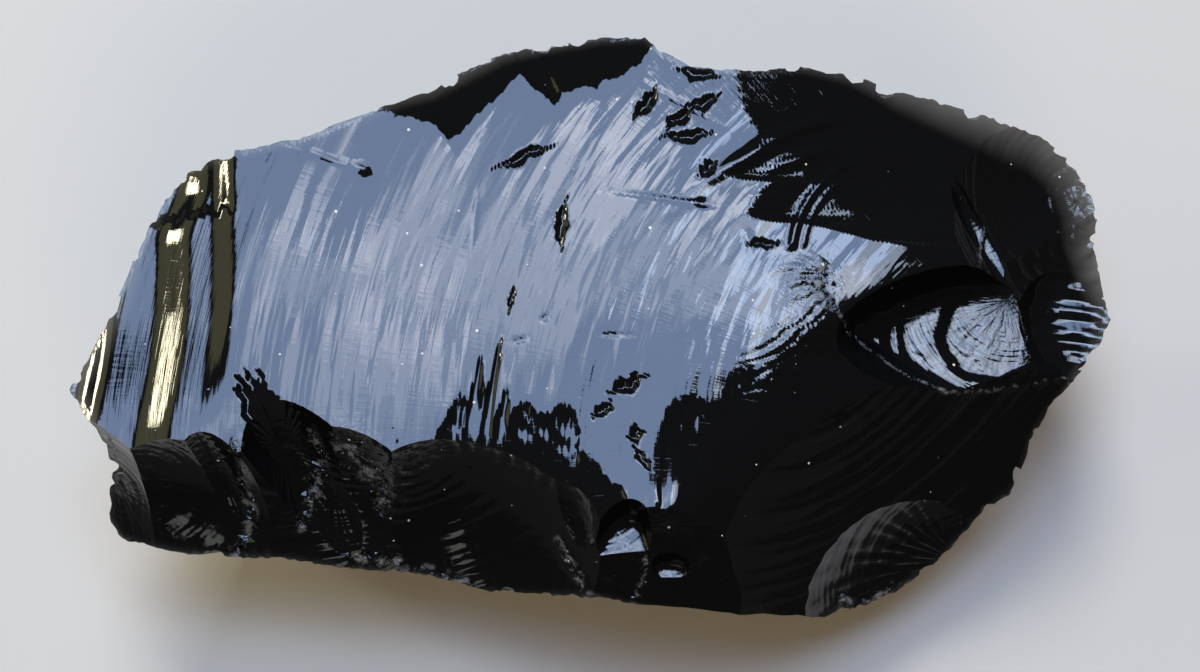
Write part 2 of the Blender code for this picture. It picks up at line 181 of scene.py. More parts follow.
# where it turns dark at the back, from left to right
BACK_BAND = [(-70, 40), (-34, 27), (-25.5, 25.4), (-23.6, 24.8), (-21.4, 23.8), (-20.6, 21.7),
             (-19.6, 22.2), (-18.2, 23.2), (-16.4, 24.6), (-14.2, 26.0), (-11.9, 27.5),
             (-9.6, 29.4), (-8.1, 30.2), (-7.4, 28.6), (-6.6, 27.8), (-5.8, 26.3), (-5.1, 26.9),
             (-4.4, 27.9), (-3.0, 28.1), (-1.0, 28.8), (0.2, 28.3), (1.2, 29.2), (3.6, 29.8),
             (5.3, 30.8), (7.1, 31.6), (9.0, 33.5), (70, 60)]

# slim dents left by bubbles and strings in the glass: middle, half length and width, heading, depth
DENTS = [((-33.0, 19.2), (4.6, 0.35), -17, 0.060), ((-28.6, 17.9), (0.9, 0.6), -17, 0.120),
         ((8.0, 14.1), (4.8, 0.30), -8, 0.050), ((12.3, 13.6), (0.8, 0.5), -8, 0.100),
         ((10.5, 25.8), (4.6, 0.35), -30, 0.060), ((-15.0, 11.5), (3.6, 0.32), 86, 0.030),
         ((1.8, -2.6), (1.5, 0.25), 0, 0.040), ((17.8, 9.0), (1.1, 0.6), 100, 0.050),
         ((-9.5, -3.3), (0.8, 0.35), 10, 0.050), ((-6.6, -0.6), (0.5, 0.4), 40, 0.060)]

# steep little flaws, dark among the light: middle, half length and width, heading, steepness
FLAWS = [((-9.2, 19.4), (2.9, 0.50), 22, 0.75), ((-4.5, 11.0), (2.4, 0.55), 82, 0.75),
         ((5.6, 26.2), (1.8, 0.62), 57, 0.75), ((12.6, 26.4), (1.7, 0.62), 22, 0.75),
         ((9.6, 24.3), (1.7, 0.58), 40, 0.75), ((10.6, 22.1), (2.4, 0.55), 6, 0.75),
         ((13.0, 17.9), (1.1, 0.60), 40, 0.70), ((-10.5, 1.9), (1.4, 0.25), 78, 0.80),
         ((3.3, -8.6), (1.9, 0.60), 26, 0.75), ((0.4, -11.6), (1.2, 0.45), 40, 0.75),
         ((5.1, -17.6), (1.4, 0.38), -60, 0.70), ((19.6, 8.6), (1.5, 0.40), 4, 0.70),
         ((12.0, 30.0), (2.2, 0.50), -12, 0.70), ((4.2, -14.6), (0.8, 0.7), 20, 0.55)]

# low swells: middle, half length and width, heading, rise
SWELLS = [((9.5, -23.1), (3.4, 1.9), 30, 0.26), ((13.4, -25.6), (2.2, 0.8), -48, 0.16),
          ((4.2, -24.6), (4.0, 3.4), 0, 0.17), ((12.9, -19.2), (1.9, 0.9), -38, 0.16),
          ((-4.0, -4.0), (9.0, 7.0), 70, 0.08), ((20.2, 20.9), (7.6, 1.00), 31, 0.36),
          ((24.6, 19.6), (5.6, 0.80), 22, 0.32), ((25.5, 23.6), (4.6, 0.70), 20, 0.28),
          ((19.5, 14.0), (3.5, 1.5), 50, 0.10)]

# the wedge gone at the front left, the nose of the scoop, its rope-like lines and the pleats below
WEDGE_TIP = (-41.9, -7.5)
WEDGE_COURSE = (0.455, -0.89)
NOSE = (28.5, 5.0)
ROPE_HEIGHT = 0.026
PLEAT_SPACING = 1.15
PLEAT_HEIGHT = 0.055

# fine ribs that curve up from the nose of the scoop: centre, radius, half width, rise
RIBS = [((37.5, 6.5), 14.6, 0.50, 0.26), ((37.5, 6.5), 13.3, 0.35, 0.10)]


def main_rings(x, y):
    """Distance from the main strike point, and the turn away from the -X direction."""
    ring = np.hypot(x - MAIN_STRIKE[0], y - MAIN_STRIKE[1])
    turn = np.arctan2(y - MAIN_STRIKE[1], MAIN_STRIKE[0] - x)
    return ring, turn


def drawn(line, t):
    """Read a drawn line, given as points."""
    return np.interp(t, [point[0] for point in line], [point[1] for point in line])


def lip(distance, drop, reach):
    """A crisp lip: level before zero, then falling away and levelling out again."""
    return drop * (1.0 - np.exp(-past(distance, 0.16) / reach))


def left_bevel(x, y):
    """The stepped left end: a dark facet, a long trough and the thin outer flat."""
    out = LEFT_END - x + 0.4 * np.sin(y / 6.5 + 1.0)
    facet = 0.85 * soft_step((out + 0.2) / 3.4) * soft_step((y + 14.0) / 15.0)
    bend = 1.2 * soft_step((-y - 4.0) / 16.0) - 2.4 * soft_step((y - 9.0) / 8.0)
    trough = 1.95 * soft_step((out - 5.2 - bend) / 5.0)
    rough = 0.5 * waver(out, 41, 2.4)
    corner = 0.55 * soft_step((y - 12.6 + 0.10 * out + rough) / 1.1) * soft_step((out + 0.4) / 3.0)
    skirt = 1.6 * soft_step((out - 14.6 - bend) / 4.0)
    return facet + trough + corner + skirt


def right_fall(x, y):
    """The shoulder rolls away, and the level ground ends at the tongue and the teeth."""
    shoulder = past(x - drawn(SHOULDER, y), 1.5)
    teeth = x - drawn(TONGUE, y) + 0.25 * waver(y, 3, 1.3)
    return 0.13 * shoulder + 0.0028 * shoulder ** 2 + lip(teeth, 1.3, 8.0)


def front_fall(x, y):
    """The flutes, slanting with the rings on the left, and the roll down to the front."""
    slanting_x = x - 0.16 * (y + 8.0) * soft_step((2.0 - x) / 5.0)
    flutes = drawn(FLUTES, slanting_x) + 0.22 * waver(slanting_x, 5, 0.9)
    over = past(drawn(ROLL, x) - y, 1.5)
    roll = 0.014 * over ** 2 / (1.0 + 0.02 * over) + 0.022 * past(over - 9.0, 2.0) ** 2
    return lip(flutes - y, 0.36, 2.6) + roll


def back_fall(x, y):
    """The torn band along the back."""
    band = y - drawn(BACK_BAND, x + 0.45 * (y - 27.0)) + 0.12 * waver(x + 0.5 * y, 7, 1.9)
    return lip(band, 0.55, 3.4) + 0.12 * past(band, 1.0)


def ring_waves(x, y):
    """Long swells and fine ripples in rings, with a closer set on the right."""
    ring, turn = main_rings(x, y)
    swell = np.cos(2.0 * np.pi * ring / SWELL[0] + 1.5 * np.sin(2.3 * turn))
    waves = SWELL[1] * swell * (0.6 + 0.4 * np.sin(7.0 * turn + 0.05 * ring))
    ripple = np.cos(2.0 * np.pi * ring / RIPPLE[0] + 2.0 * np.sin(3.1 * turn))
    waves = waves + RIPPLE[1] * ripple * (0.5 + 0.5 * np.sin(9.0 * turn + 0.3 * ring))
    right = soft_step((x - 12.0) / 14.0)
    ripple = np.cos(2.0 * np.pi * ring / RIGHT_RIPPLE[0] + 1.2 * np.sin(6.0 * turn))
    patches = 0.5 + 0.5 * np.sin(11.0 * turn + 0.5 * ring)
    return waves + RIGHT_RIPPLE[1] * right * ripple * patches


def ribs(x, y):
    """The curved ribs, fading out at both ends and to the right."""
    total = 0.0
    for middle, radius, width, rise in RIBS:
        away = np.hypot(x - middle[0], y - middle[1]) - radius
        total = total + rise * np.exp(-(away / width) ** 2)
    ends = soft_step((y - 7.6) / 1.2) * soft_step((21.5 - y) / 4.0)
    return total * ends * soft_step((36.0 - x) / 4.0)


def flaw(x, y, middle, size, heading, steepness):
    """A torn sliver: pointed at both ends, with a ragged side."""
    a = math.radians(heading)
    along = ((x - middle[0]) * math.cos(a) + (y - middle[1]) * math.sin(a)) / size[0]
    across = ((y - middle[1]) * math.cos(a) - (x - middle[0]) * math.sin(a)) / size[1]
    seed = int(97.0 * middle[0]) + 40
    across = across + 0.5 * waver(along, seed, 2.6) + 0.10 * waver(along, seed + 1, 0.7)
    width = np.clip(1.15 - along ** 2, 0.02, 1.0) * (0.85 + 0.2 * waver(along, seed + 2, 1.1))
    sliver = np.exp(-(across / np.maximum(width, 0.15)) ** 2) * soft_step(1.6 - np.abs(along))
    return steepness * size[1] * sliver


def wedge_dent(x, y):
    """A wedge of glass gone at the front left: a steep left wall and a long right one."""
    along = WEDGE_COURSE[0] * (x - WEDGE_TIP[0]) + WEDGE_COURSE[1] * (y - WEDGE_TIP[1])
    across = WEDGE_COURSE[0] * (y - WEDGE_TIP[1]) - WEDGE_COURSE[1] * (x - WEDGE_TIP[0])
    half = 1.7 + 0.12 * along + 0.3 * np.sin(1.9 * along)
    wall = soft_step((across + half) / 0.7) * np.clip((half - across) / (2.0 * half), 0.0, 1.0)
    return 0.85 * wall * soft_step((along + 0.9 * np.sin(5.0 * across)) / 1.2)


def rope_fan(x, y):
    """Bruised glass at the nose of the scoop: rope-like lines that spread from it."""
    out = np.hypot(x - NOSE[0], y - NOSE[1])
    turn = np.arctan2(y - NOSE[1], NOSE[0] - x)
    strands = np.sin(19.0 * turn + 1.3 * np.sin(0.8 * out)) + 0.5 * np.sin(31.0 * turn + 1.7 * out)
    return ROPE_HEIGHT * strands * blob(x, y, (24.6, 3.6), (2.7, 4.2), 25.0) * soft_step(out / 1.5)


def pleats(x, y):
    """Close folds below the nose of the scoop, where the next crack tore away."""
    across = 0.62 * (x - 23.0) - 0.78 * (y + 5.0) + 0.03 * (x - 23.0) ** 2
    fold = np.sin(2.0 * np.pi * (across + 0.25 * waver(y, 17, 4.0)) / PLEAT_SPACING)
    return PLEAT_HEIGHT * fold * blob(x, y, (23.0, -4.4), (5.2, 2.6), 42.0)


def main_face_height(x, y):
    """Height of the main face over the base, in millimetres."""
    crown = CROWN * ((x - CROWN_MIDDLE[0]) ** 2 + (y - CROWN_MIDDLE[1]) ** 2)
    height = MAIN_HEIGHT - crown - right_fall(x, y) - left_bevel(x, y) - front_fall(x, y)
    height = height - back_fall(x, y) + ring_waves(x, y) + ribs(x, y)
    height = height + hills(SWELLS, x, y) - hills(DENTS, x, y)
    for row in FLAWS:
        height = height - flaw(x, y, *row)
    return height - wedge_dent(x, y) + rope_fan(x, y) + pleats(x, y)


print("main face at its middle:", round(float(main_face_height(0.0, 0.0)), 2), "mm")

# %% [markdown]
# ## A fracture sheet
# Every other face is a Fracture: a tilted sheet, hollow over its middle, with ripples in rings
# round the struck point and fine hackle lines that run out from it like spokes. A sphere could
# stand in as the cutter, as stone knappers' textbooks draw it, but real hollows are longer than
# wide and flatter in the floor, so each sheet has its own radii and its own power.

# %% Fracture sheets
SLOPE_STEP = 0.02


class Fracture:
    """A shell-shaped sheet in its own axes: along and across the blow, and out of the stone.

    power: how flat the floor of the hollow is. twist: how far its long way turns from the blow.
    calm: how far out the ripples start. hackles: how many spokes, and how high. crook: lobes in
    the outline, and how deep. relief: a function of x, y and z for anything that is its own.
    """

    def __init__(self, name, strike, middle, facing, radii, depth, ripple, power=2.0, twist=0.0,
                 calm=0.0, hackles=(0, 0.0), crook=(0, 0.0), relief=None):
        heading, pitch = (math.radians(angle) for angle in facing)
        outward = Vector((math.cos(heading) * math.cos(pitch),
                          math.sin(heading) * math.cos(pitch), math.sin(pitch)))
        run = Vector(middle) - Vector(strike)
        run = run - run.dot(outward) * outward
        along = run.normalized()
        self.name = name
        self.middle = np.array(middle, float)
        self.axes = np.array([along, outward.cross(along), outward])
        self.strike_distance = run.length
        self.radii = radii
        self.depth = depth
        self.ripple_length, self.ripple_height = ripple
        self.power = power
        self.twist = math.radians(twist)
        self.calm = calm
        self.hackles = hackles
        self.crook = crook
        self.relief = relief
        self.phase = 0.37 * sum(ord(letter) for letter in name)

    def rings(self, along, across):
        """Distance from the struck point, and the turn away from the line of the blow."""
        ring = np.hypot(along + self.strike_distance, across)
        return ring, np.arctan2(across, along + self.strike_distance)

    def height(self, along, across):
        """Height of the sheet over its own plane."""
        long_way = along * math.cos(self.twist) + across * math.sin(self.twist)
        short_way = across * math.cos(self.twist) - along * math.sin(self.twist)
        reach = (long_way / self.radii[0]) ** 2 + (short_way / self.radii[1]) ** 2
        count, share = self.crook
        if share:
            round_it = np.arctan2(short_way, long_way)
            reach = reach * (1.0 + share * np.sin(count * round_it + self.phase))
        hollow = self.depth * (np.minimum(reach, 1.0) ** (self.power / 2.0) - 1.0)
        rising = self.depth * self.power / 2.0 * np.maximum(reach - 1.0, 0.0)
        ring, turn = self.rings(along, across)
        wave = 2.0 * np.pi * ring / self.ripple_length + 0.6 * np.sin(3.0 * turn + self.phase)
        strength = 0.55 + 0.45 * np.sin(5.0 * turn + 0.21 * ring + self.phase)
        ripple = strength * np.cos(wave) + 0.35 * np.cos(2.63 * wave + 2.0 * turn + self.phase)
        if self.calm:
            ripple = ripple * soft_step(ring / self.calm)
        count, rise = self.hackles
        spokes = rise * soft_step(ring / 5.0) * np.sin(count * turn + 1.5 * np.sin(0.35 * ring))
        total = hollow + rising + self.ripple_height * ripple + spokes
        if self.relief:
            at = self.to_world(np.stack([along, across, 0.0 * along], axis=-1))
            total = total + self.relief(at[..., 0], at[..., 1], at[..., 2])
        return total

    def to_local(self, points):
        return (points - self.middle) @ self.axes.T

    def to_world(self, points):
        return points @ self.axes + self.middle

    def normals(self, points):
        """Direction out of the stone at points on the sheet, from the slope of its height."""
        along, across, _ = self.to_local(points).T
        step = SLOPE_STEP
        rise_along = self.height(along + step, across) - self.height(along - step, across)
        rise_across = self.height(along, across + step) - self.height(along, across - step)
        slopes = [-rise_along / (2.0 * step), -rise_across / (2.0 * step), np.ones_like(along)]
        up = np.stack(slopes, axis=1) @ self.axes
        return up / np.linalg.norm(up, axis=1, keepdims=True)

    def height_over(self, x, y):
        """Height over the base where the upright line at x, y meets the sheet."""
        drop = np.linspace(BLANK_TOP, -5.0, 197)
        line = np.stack([np.full_like(drop, x), np.full_like(drop, y), drop], axis=1)
        here = self.to_local(line)
        gap = here[:, 2] - self.height(here[:, 0], here[:, 1])
        under = np.nonzero(gap < 0.0)[0]
        if len(under) == 0:
            return drop[-1]
        first = under[0]
        if first == 0:
            return BLANK_TOP
        share = gap[first - 1] / (gap[first - 1] - gap[first])
        return drop[first - 1] + (drop[first] - drop[first - 1]) * share


class MainFace(Fracture):
    """The main face, given as a height over the base, on rings round its strike point."""

    def __init__(self):
        self.name = "main_face"
        self.middle = np.array((MAIN_STRIKE[0], MAIN_STRIKE[1], 0.0))
        self.axes = np.eye(3)
        self.strike_distance = 0.0

    def rings(self, along, across):
        return np.hypot(along, across), np.arctan2(across, -along)

    def height(self, along, across):
        return main_face_height(along + MAIN_STRIKE[0], across + MAIN_STRIKE[1])

    def height_over(self, x, y):
        return float(main_face_height(x, y))


print("main face under its struck point:", round(MainFace().height_over(*MAIN_STRIKE), 2), "mm")

# %% [markdown]
# ## The flakes struck from the top
# Each row is one blow, in the order it fell: where it struck, the middle of its hollow, which way
# the hollow faces (heading and pitch), its radii, its depth, and the length and height of its
# ripples. A later blow always cuts through an earlier one, which is how one reads a real chunk.
# The steep front scars face the dark side of the room and look black, and the scoop at the right
# end is nearly level, so its floor shines.

# %% Flakes


DISC_MIDDLE = (48.4, -0.4)
DISC_RADIUS = 5.5
CRESCENT_RADIUS = 11.8
ARC_SPACING = 2.3
BAND_SPACING = 2.7


def scoop_floor(x, y, z):
    """A level disc, a dark step round it, a level crescent, and a slow rise to the nose."""
    ring = np.hypot(x - DISC_MIDDLE[0], y - DISC_MIDDLE[1])
    turn = np.arctan2(DISC_MIDDLE[1] - y, DISC_MIDDLE[0] - x)
    disc_edge = DISC_RADIUS + 0.4 * np.sin(2.0 * turn + 0.4) + 0.12 * np.sin(9.0 * turn)
    dark_step = 0.40 * soft_step((ring - disc_edge) / (1.3 + 0.5 * np.cos(turn + 0.3)))
    beyond = past(ring - CRESCENT_RADIUS - 0.9 * np.sin(turn - 0.7), 0.25)
    arcs = 0.090 * np.sin(2.0 * np.pi * beyond / ARC_SPACING) * soft_step(beyond)
    back_step = 0.22 * soft_step((y - 4.3) / 0.4) * soft_step(x - 43.5)
    front_wall = 0.9 * past(-0.489 * (x - 42.3) - 0.872 * (y + 7.9) + 0.6, 0.3)
    to_tip = x - 52.4 + 0.55 * past(y - 1.5, 0.5) + 0.35 * waver(y, 31, 1.5)
    tip_rise = 0.40 * past(to_tip, 0.12) * soft_step(y + 5.0)
    return dark_step + 0.15 * beyond + arcs + back_step + front_wall + tip_rise


def ledge_bands(x, y, z):
    """Broad level bands on the small ledge at the tip."""
    return 0.075 * np.sin(2.0 * np.pi * (y + 0.05 * (x - 58.0) ** 2) / BAND_SPACING)


def folds(x, y, z):
    """The pleats, where the next crack tore through them."""
    return pleats(x, y)


UPPER_FLAKES = [
    Fracture("front_wall", (8, -25, 36), (9, -29.0, 32.4), (-88, 44), (15, 13), 0.8, (5.0, 0.05)),
    Fracture("lower_right", (22, 4, 36.5), (41, -20, 23), (-58, 46.5), (27, 20), 2.6, (5.0, 0.06),
             relief=folds),
    Fracture("scoop", (50.2, 3.6, 30), (46.5, -3.0, 36.5), (0, 90), (20.5, 9.9), 7.6, (2.1, 0.013),
             power=12.0, twist=-53.0, calm=9.0, relief=scoop_floor),
    Fracture("right_hollow", (62, 18, 30), (53.5, 14, 30), (20, 66), (12, 12), 3.0, (3.2, 0.08)),
    Fracture("right_facet", (61, 13, 28), (56, 10.5, 27.4), (-17, 61), (8, 6), 1.0, (1.6, 0.08)),
    Fracture("right_ledge", (61, 16, 28), (61.0, 1.6, 27.5), (180, 87), (8.8, 8.6), 3.0,
             (1.6, 0.015), power=6.0, calm=6.0, relief=ledge_bands),
    Fracture("front_left", (-56, -19, 31), (-49.5, -21.5, 29.5), (-94, 44), (10.5, 8), 1.8,
             (3.0, 0.04)),
    Fracture("front_corner", (-60, -20, 27), (-60, -21.5, 24), (-136, 46), (5, 9), 0.6,
             (3.0, 0.04)),
    Fracture("front_chip_a", (-38, -16, 36), (-36, -22, 29.4), (-82, 45), (8, 6), 1.0, (1.7, 0.05)),
    Fracture("front_chip_b", (-30, -15, 37), (-28, -22, 29.4), (-112, 47), (8, 5), 1.2,
             (2.0, 0.05)),
    Fracture("front_chip_c", (-22, -18, 36), (-22.5, -24, 27.4), (-66, 46), (7, 5), 0.9,
             (2.0, 0.05)),
    Fracture("split_a", (-37.5, -16, 33), (-35.4, -20.6, 28.4), (-55, 62), (7.0, 2.6), 1.1,
             (1.3, 0.02), hackles=(40, 0.04)),
    Fracture("split_b", (-33, -20, 31), (-31.0, -24.6, 25.8), (-112, 62), (4.6, 2.6), 0.9,
             (1.1, 0.02), hackles=(36, 0.03)),
    Fracture("split_c", (-22, -27, 27), (-26.6, -28.3, 24.3), (-95, 64), (4.2, 1.5), 0.6,
             (1.1, 0.02), hackles=(30, 0.03)),
    Fracture("split_d", (-46, -18, 31), (-44.6, -22.0, 27.9), (-80, 63), (4.4, 1.7), 0.8,
             (1.1, 0.02), hackles=(30, 0.03)),
    Fracture("blade", (44.6, 16.2, 31.2), (47.6, 10.2, 31.2), (0, 90), (6.2, 1.5), 1.2,
             (1.7, 0.012), power=4.0, crook=(2, 0.2)),
    Fracture("crescent_chip", (-1.5, -24, 34), (-2.6, -27.8, 32.4), (-165, 52), (4.2, 2.6), 1.0,
             (2.0, 0.03)),
    Fracture("ledge_chip", (0, -21, 34), (3.0, -28.2, 36.6), (90, 86), (5.2, 4.4), 3.7, (2.0, 0.02),
             power=9.0, crook=(3, 0.26)),
    Fracture("small_ledge_chip", (9, -25, 32), (8.4, -30.6, 32.0), (80, 85), (2.9, 2.3), 2.2,
             (2.0, 0.02), power=7.0, crook=(3, 0.30)),
    Fracture("corner_fan", (46, -26, 10), (39.5, -28, 13.6), (-58, 53), (7.5, 7), 1.0, (2.4, 0.02),
             hackles=(60, 0.05)),
]

# flakes struck off the flanks: name, heading from the base centre, half width and depth
FLANK_FLAKES = [("left_flank", 172, 18.0, 2.4), ("left_back_flank", 140, 16.0, 2.4),
                ("back_left_flank", 112, 18.0, 2.8), ("back_flank", 84, 17.0, 2.4),
                ("back_right_flank", 50, 16.0, 2.4), ("right_flank", 12, 15.0, 2.4),
                ("right_front_flank", -25, 13.0, 1.6), ("front_right_flank", -60, 16.0, 0.9),
                ("front_flank", -100, 18.0, 1.4), ("front_left_flank", -145, 18.0, 1.8)]
upper = [MainFace()] + UPPER_FLAKES
print("blows from the top:", len(upper), " from the sides:", len(FLANK_FLAKES))

# %% [markdown]
# ## The blank, and the flanks below the edge
# Before any blow the stone is a blank: a flat base, flanks that lean out to the edge, and straight
# walls above. The edge height is read from the sheets themselves, so the finished edge is as thin
# as real knapped glass. The outline is split about every half millimetre and set in and out a bit,
# because such an edge is never smooth. A bevel would make it thick, and a plain one too clean.

# %% Blank
BLANK_TOP = 44.0
EDGE_THICKNESS = 0.4
LOWEST_EDGE = 2.5
EDGE_STEP = 0.55
EDGE_JITTER = 0.09
# the base is this share of the outline, and the flanks lean less at the front
BASE_SHARE = 0.64
BASE_SHARE_FRONT = 0.19
STONE_HALF_LENGTH = 62.0
STONE_HALF_WIDTH = 30.0
dice = random.Random(11)


def ragged_outline():
    """The outline in short steps, with nibbled edges and a few wider bites."""
    points = []
    run = 0.0
    for (ax, ay), (bx, by) in zip(RIM, RIM[1:] + RIM[:1]):
        length = math.hypot(bx - ax, by - ay)
        steps = max(1, round(length / EDGE_STEP))
        inward = Vector((ay - by, bx - ax)).normalized()
        if inward.dot(Vector(BASE_CENTRE) - Vector((ax, ay))) < 0.0:
            inward.negate()
        for k in range(steps):
            share = k / steps
            nibble = 0.13 * waver(run, 21, 7.3) + 0.05 * waver(run, 22, 1.7)
            bite = 0.55 * max(0.0, waver(run, 23, 9.0) - 0.45)
            shift = 0.05 + nibble + bite + dice.uniform(-EDGE_JITTER, EDGE_JITTER)
            points.append((ax + (bx - ax) * share + inward.x * shift,
                           ay + (by - ay) * share + inward.y * shift))
            run += length / steps
    return points


def base_point(x, y):
    """The corner of the flat base that belongs to a point of the edge."""
    angle = math.atan2((y - BASE_CENTRE[1]) / STONE_HALF_WIDTH,
                       (x - BASE_CENTRE[0]) / STONE_HALF_LENGTH)
    share = BASE_SHARE - BASE_SHARE_FRONT * math.sin(angle) + 0.02 * math.cos(3.0 * angle)
    return Vector((BASE_CENTRE[0] + (x - BASE_CENTRE[0]) * share,
                   BASE_CENTRE[1] + (y - BASE_CENTRE[1]) * share, 0.0))


def top_at(x, y):
    """Height of the lowest upper sheet, which is the top of the stone there."""
    return min(sheet.height_over(x, y) for sheet in upper)


def lift(outline):
    """The outline raised to just under the upper faces."""
    return [Vector((x, y, max(top_at(x, y) - EDGE_THICKNESS, LOWEST_EDGE))) for x, y in outline]


def to_scene(name, content):
    """A new object that holds a mesh, a lamp or a camera, linked to the scene."""
    thing = bpy.data.objects.new(name, content)
    bpy.context.scene.collection.objects.link(thing)
    return thing


def number_faces(mesh, blow):
    """Write on every face the number of the blow that made it."""
    layer = mesh.attributes.new("blow", "INT", "FACE")
    layer.data.foreach_set("value", np.full(len(mesh.polygons), blow, np.int32))


def make_blank(edge):
    """A closed block: flat base, flanks that lean out to the edge, straight walls above."""
    count = len(edge)
    base = [base_point(p.x, p.y) for p in edge]
    top = [Vector((p.x, p.y, BLANK_TOP)) for p in edge]
    faces = [list(range(count)), [2 * count + i for i in range(count)]]
    for ring in (0, count):
        for i in range(count):
            j = (i + 1) % count
            faces.append([ring + i, ring + j, ring + count + j, ring + count + i])
    mesh = bpy.data.meshes.new("obsidian_stone")
    mesh.from_pydata([p * MM for p in base + edge + top], [], faces)
    shape = bmesh.new()
    shape.from_mesh(mesh)
    bmesh.ops.recalc_face_normals(shape, faces=shape.faces[:])
    shape.to_mesh(mesh)
    shape.free()
    number_faces(mesh, 0)
    return to_scene("obsidian_stone", mesh)


plain_edge = lift(RIM)
ragged_edge = lift(ragged_outline())
stone = make_blank(ragged_edge)
print("edge points:", len(ragged_edge), " edge height, mm:",
      round(min(p.z for p in ragged_edge), 1), "to", round(max(p.z for p in ragged_edge), 1))

# %% [markdown]
# ## Striking the flakes off
# Each sheet is laid out as rings and rays from its struck point, drawn up into a closed block, and
# taken off with a Boolean. The fast MANIFOLD solver is used because these blocks are clean closed
# solids with tens of thousands of faces. Sculpting would blur the ridges that the cuts leave.

# %% Cutters
FINE_GRID = 0.5
FLANK_GRID = 1.1
# the main face needs a closer grid where its flutes and teeth are: start, end and step
MAIN_RINGS = [(0.3, 20.0, 0.6), (20.0, 40.0, 0.40), (40.0, 62.0, 0.36), (62.0, 84.0, 0.27),
              (84.0, 140.0, 0.45)]
MAIN_TURNS = [(0.0, 117.0, 0.6), (117.0, 191.0, 0.29), (191.0, 360.0, 0.6)]
CLOSE_GRIDS = {"scoop": 0.36, "right_ledge": 0.36, "lower_right": 0.7, "front_wall": 0.7,
               "split_a": 0.3, "split_b": 0.3, "split_c": 0.3, "split_d": 0.3, "blade": 0.3,
               "crescent_chip": 0.3, "ledge_chip": 0.3, "small_ledge_chip": 0.3}
CUTTER_RISE = 90.0
CUTTER_MARGIN = 2.0
FEWEST_RAYS = 16
FLANK_RIPPLE = (4.6, 0.09)
FLANK_HACKLES = (36, 0.02)
corners = np.array([(x, y, z) for x, y in RIM for z in (-0.5, BLANK_TOP + 0.5)])


def edge_at(edge, heading):
    """The point of the edge that lies in a heading from the base centre."""
    course = Vector((math.cos(math.radians(heading)), math.sin(math.radians(heading))))
    for start, end in zip(edge, edge[1:] + edge[:1]):
        a = start.xy - Vector(BASE_CENTRE)
        b = end.xy - Vector(BASE_CENTRE)
        side_a = course.cross(a)
        side_b = course.cross(b)
        if side_a * side_b <= 0.0 and side_a != side_b and course.dot(a) > 0.0:
            return start.lerp(end, side_a / (side_a - side_b))
    raise ValueError("the edge does not pass this heading")


def flank_flake(edge, name, heading, half_width, depth):
    """A hollow flake scar that runs from the edge down the flank to the base."""
    top = edge_at(edge, heading)
    foot = base_point(top.x, top.y)
    along_edge = edge_at(edge, heading + 6.0) - edge_at(edge, heading - 6.0)
    outward = (foot - top).cross(along_edge).normalized()
    middle = top.lerp(foot, 0.5)
    if outward.xy.dot(middle.xy - Vector(BASE_CENTRE)) < 0.0:
        outward.negate()
    facing = (math.degrees(math.atan2(outward.y, outward.x)), math.degrees(math.asin(outward.z)))
    half_height = (foot - top).length / 2.0
    return Fracture(name, top, middle, facing, (half_height, half_width), depth, FLANK_RIPPLE,
                    hackles=FLANK_HACKLES)


def ladder(spans):
    """Numbers from span to span, each with its own step."""
    return np.concatenate([np.arange(start, end - 0.3 * step, step) for start, end, step in spans])


def cutter_grid(sheet, low, high, step):
    """Ring distances and ray turns that cover a box, and whether the struck point is in it."""
    start = low[0] + sheet.strike_distance
    end = high[0] + sheet.strike_distance
    near = math.hypot(max(start, 0.0, -end), max(low[1], 0.0, -high[1]))
    far = math.hypot(max(abs(start), abs(end)), max(abs(low[1]), abs(high[1])))
    if isinstance(sheet, MainFace):
        return ladder(MAIN_RINGS), np.radians(ladder(MAIN_TURNS)), near == 0.0
    rings = np.arange(max(0.5 * step, near - step), far + step, step)
    rays = max(FEWEST_RAYS, int(2.0 * math.pi * max(sheet.strike_distance, 8.0) / step))
    return rings, np.arange(rays) * 2.0 * math.pi / rays, near == 0.0


def closed_block(points, faces):
    """The part of a grid that is used, a copy drawn up over it, and walls between the two."""
    used = sorted({i for face in faces for i in face})
    place = {old: new for new, old in enumerate(used)}
    faces = [[place[i] for i in face] for face in faces]
    points = points[used]
    count = len(points)
    sides = {(a, b) for face in faces for a, b in zip(face, face[1:] + face[:1])}
    border = [(a, b) for a, b in sides if (b, a) not in sides]
    block = [face[::-1] for face in faces] + [[i + count for i in face] for face in faces]
    block += [[a, b, b + count, a + count] for a, b in border]
    return np.vstack([points, points + (0.0, 0.0, CUTTER_RISE)]), block


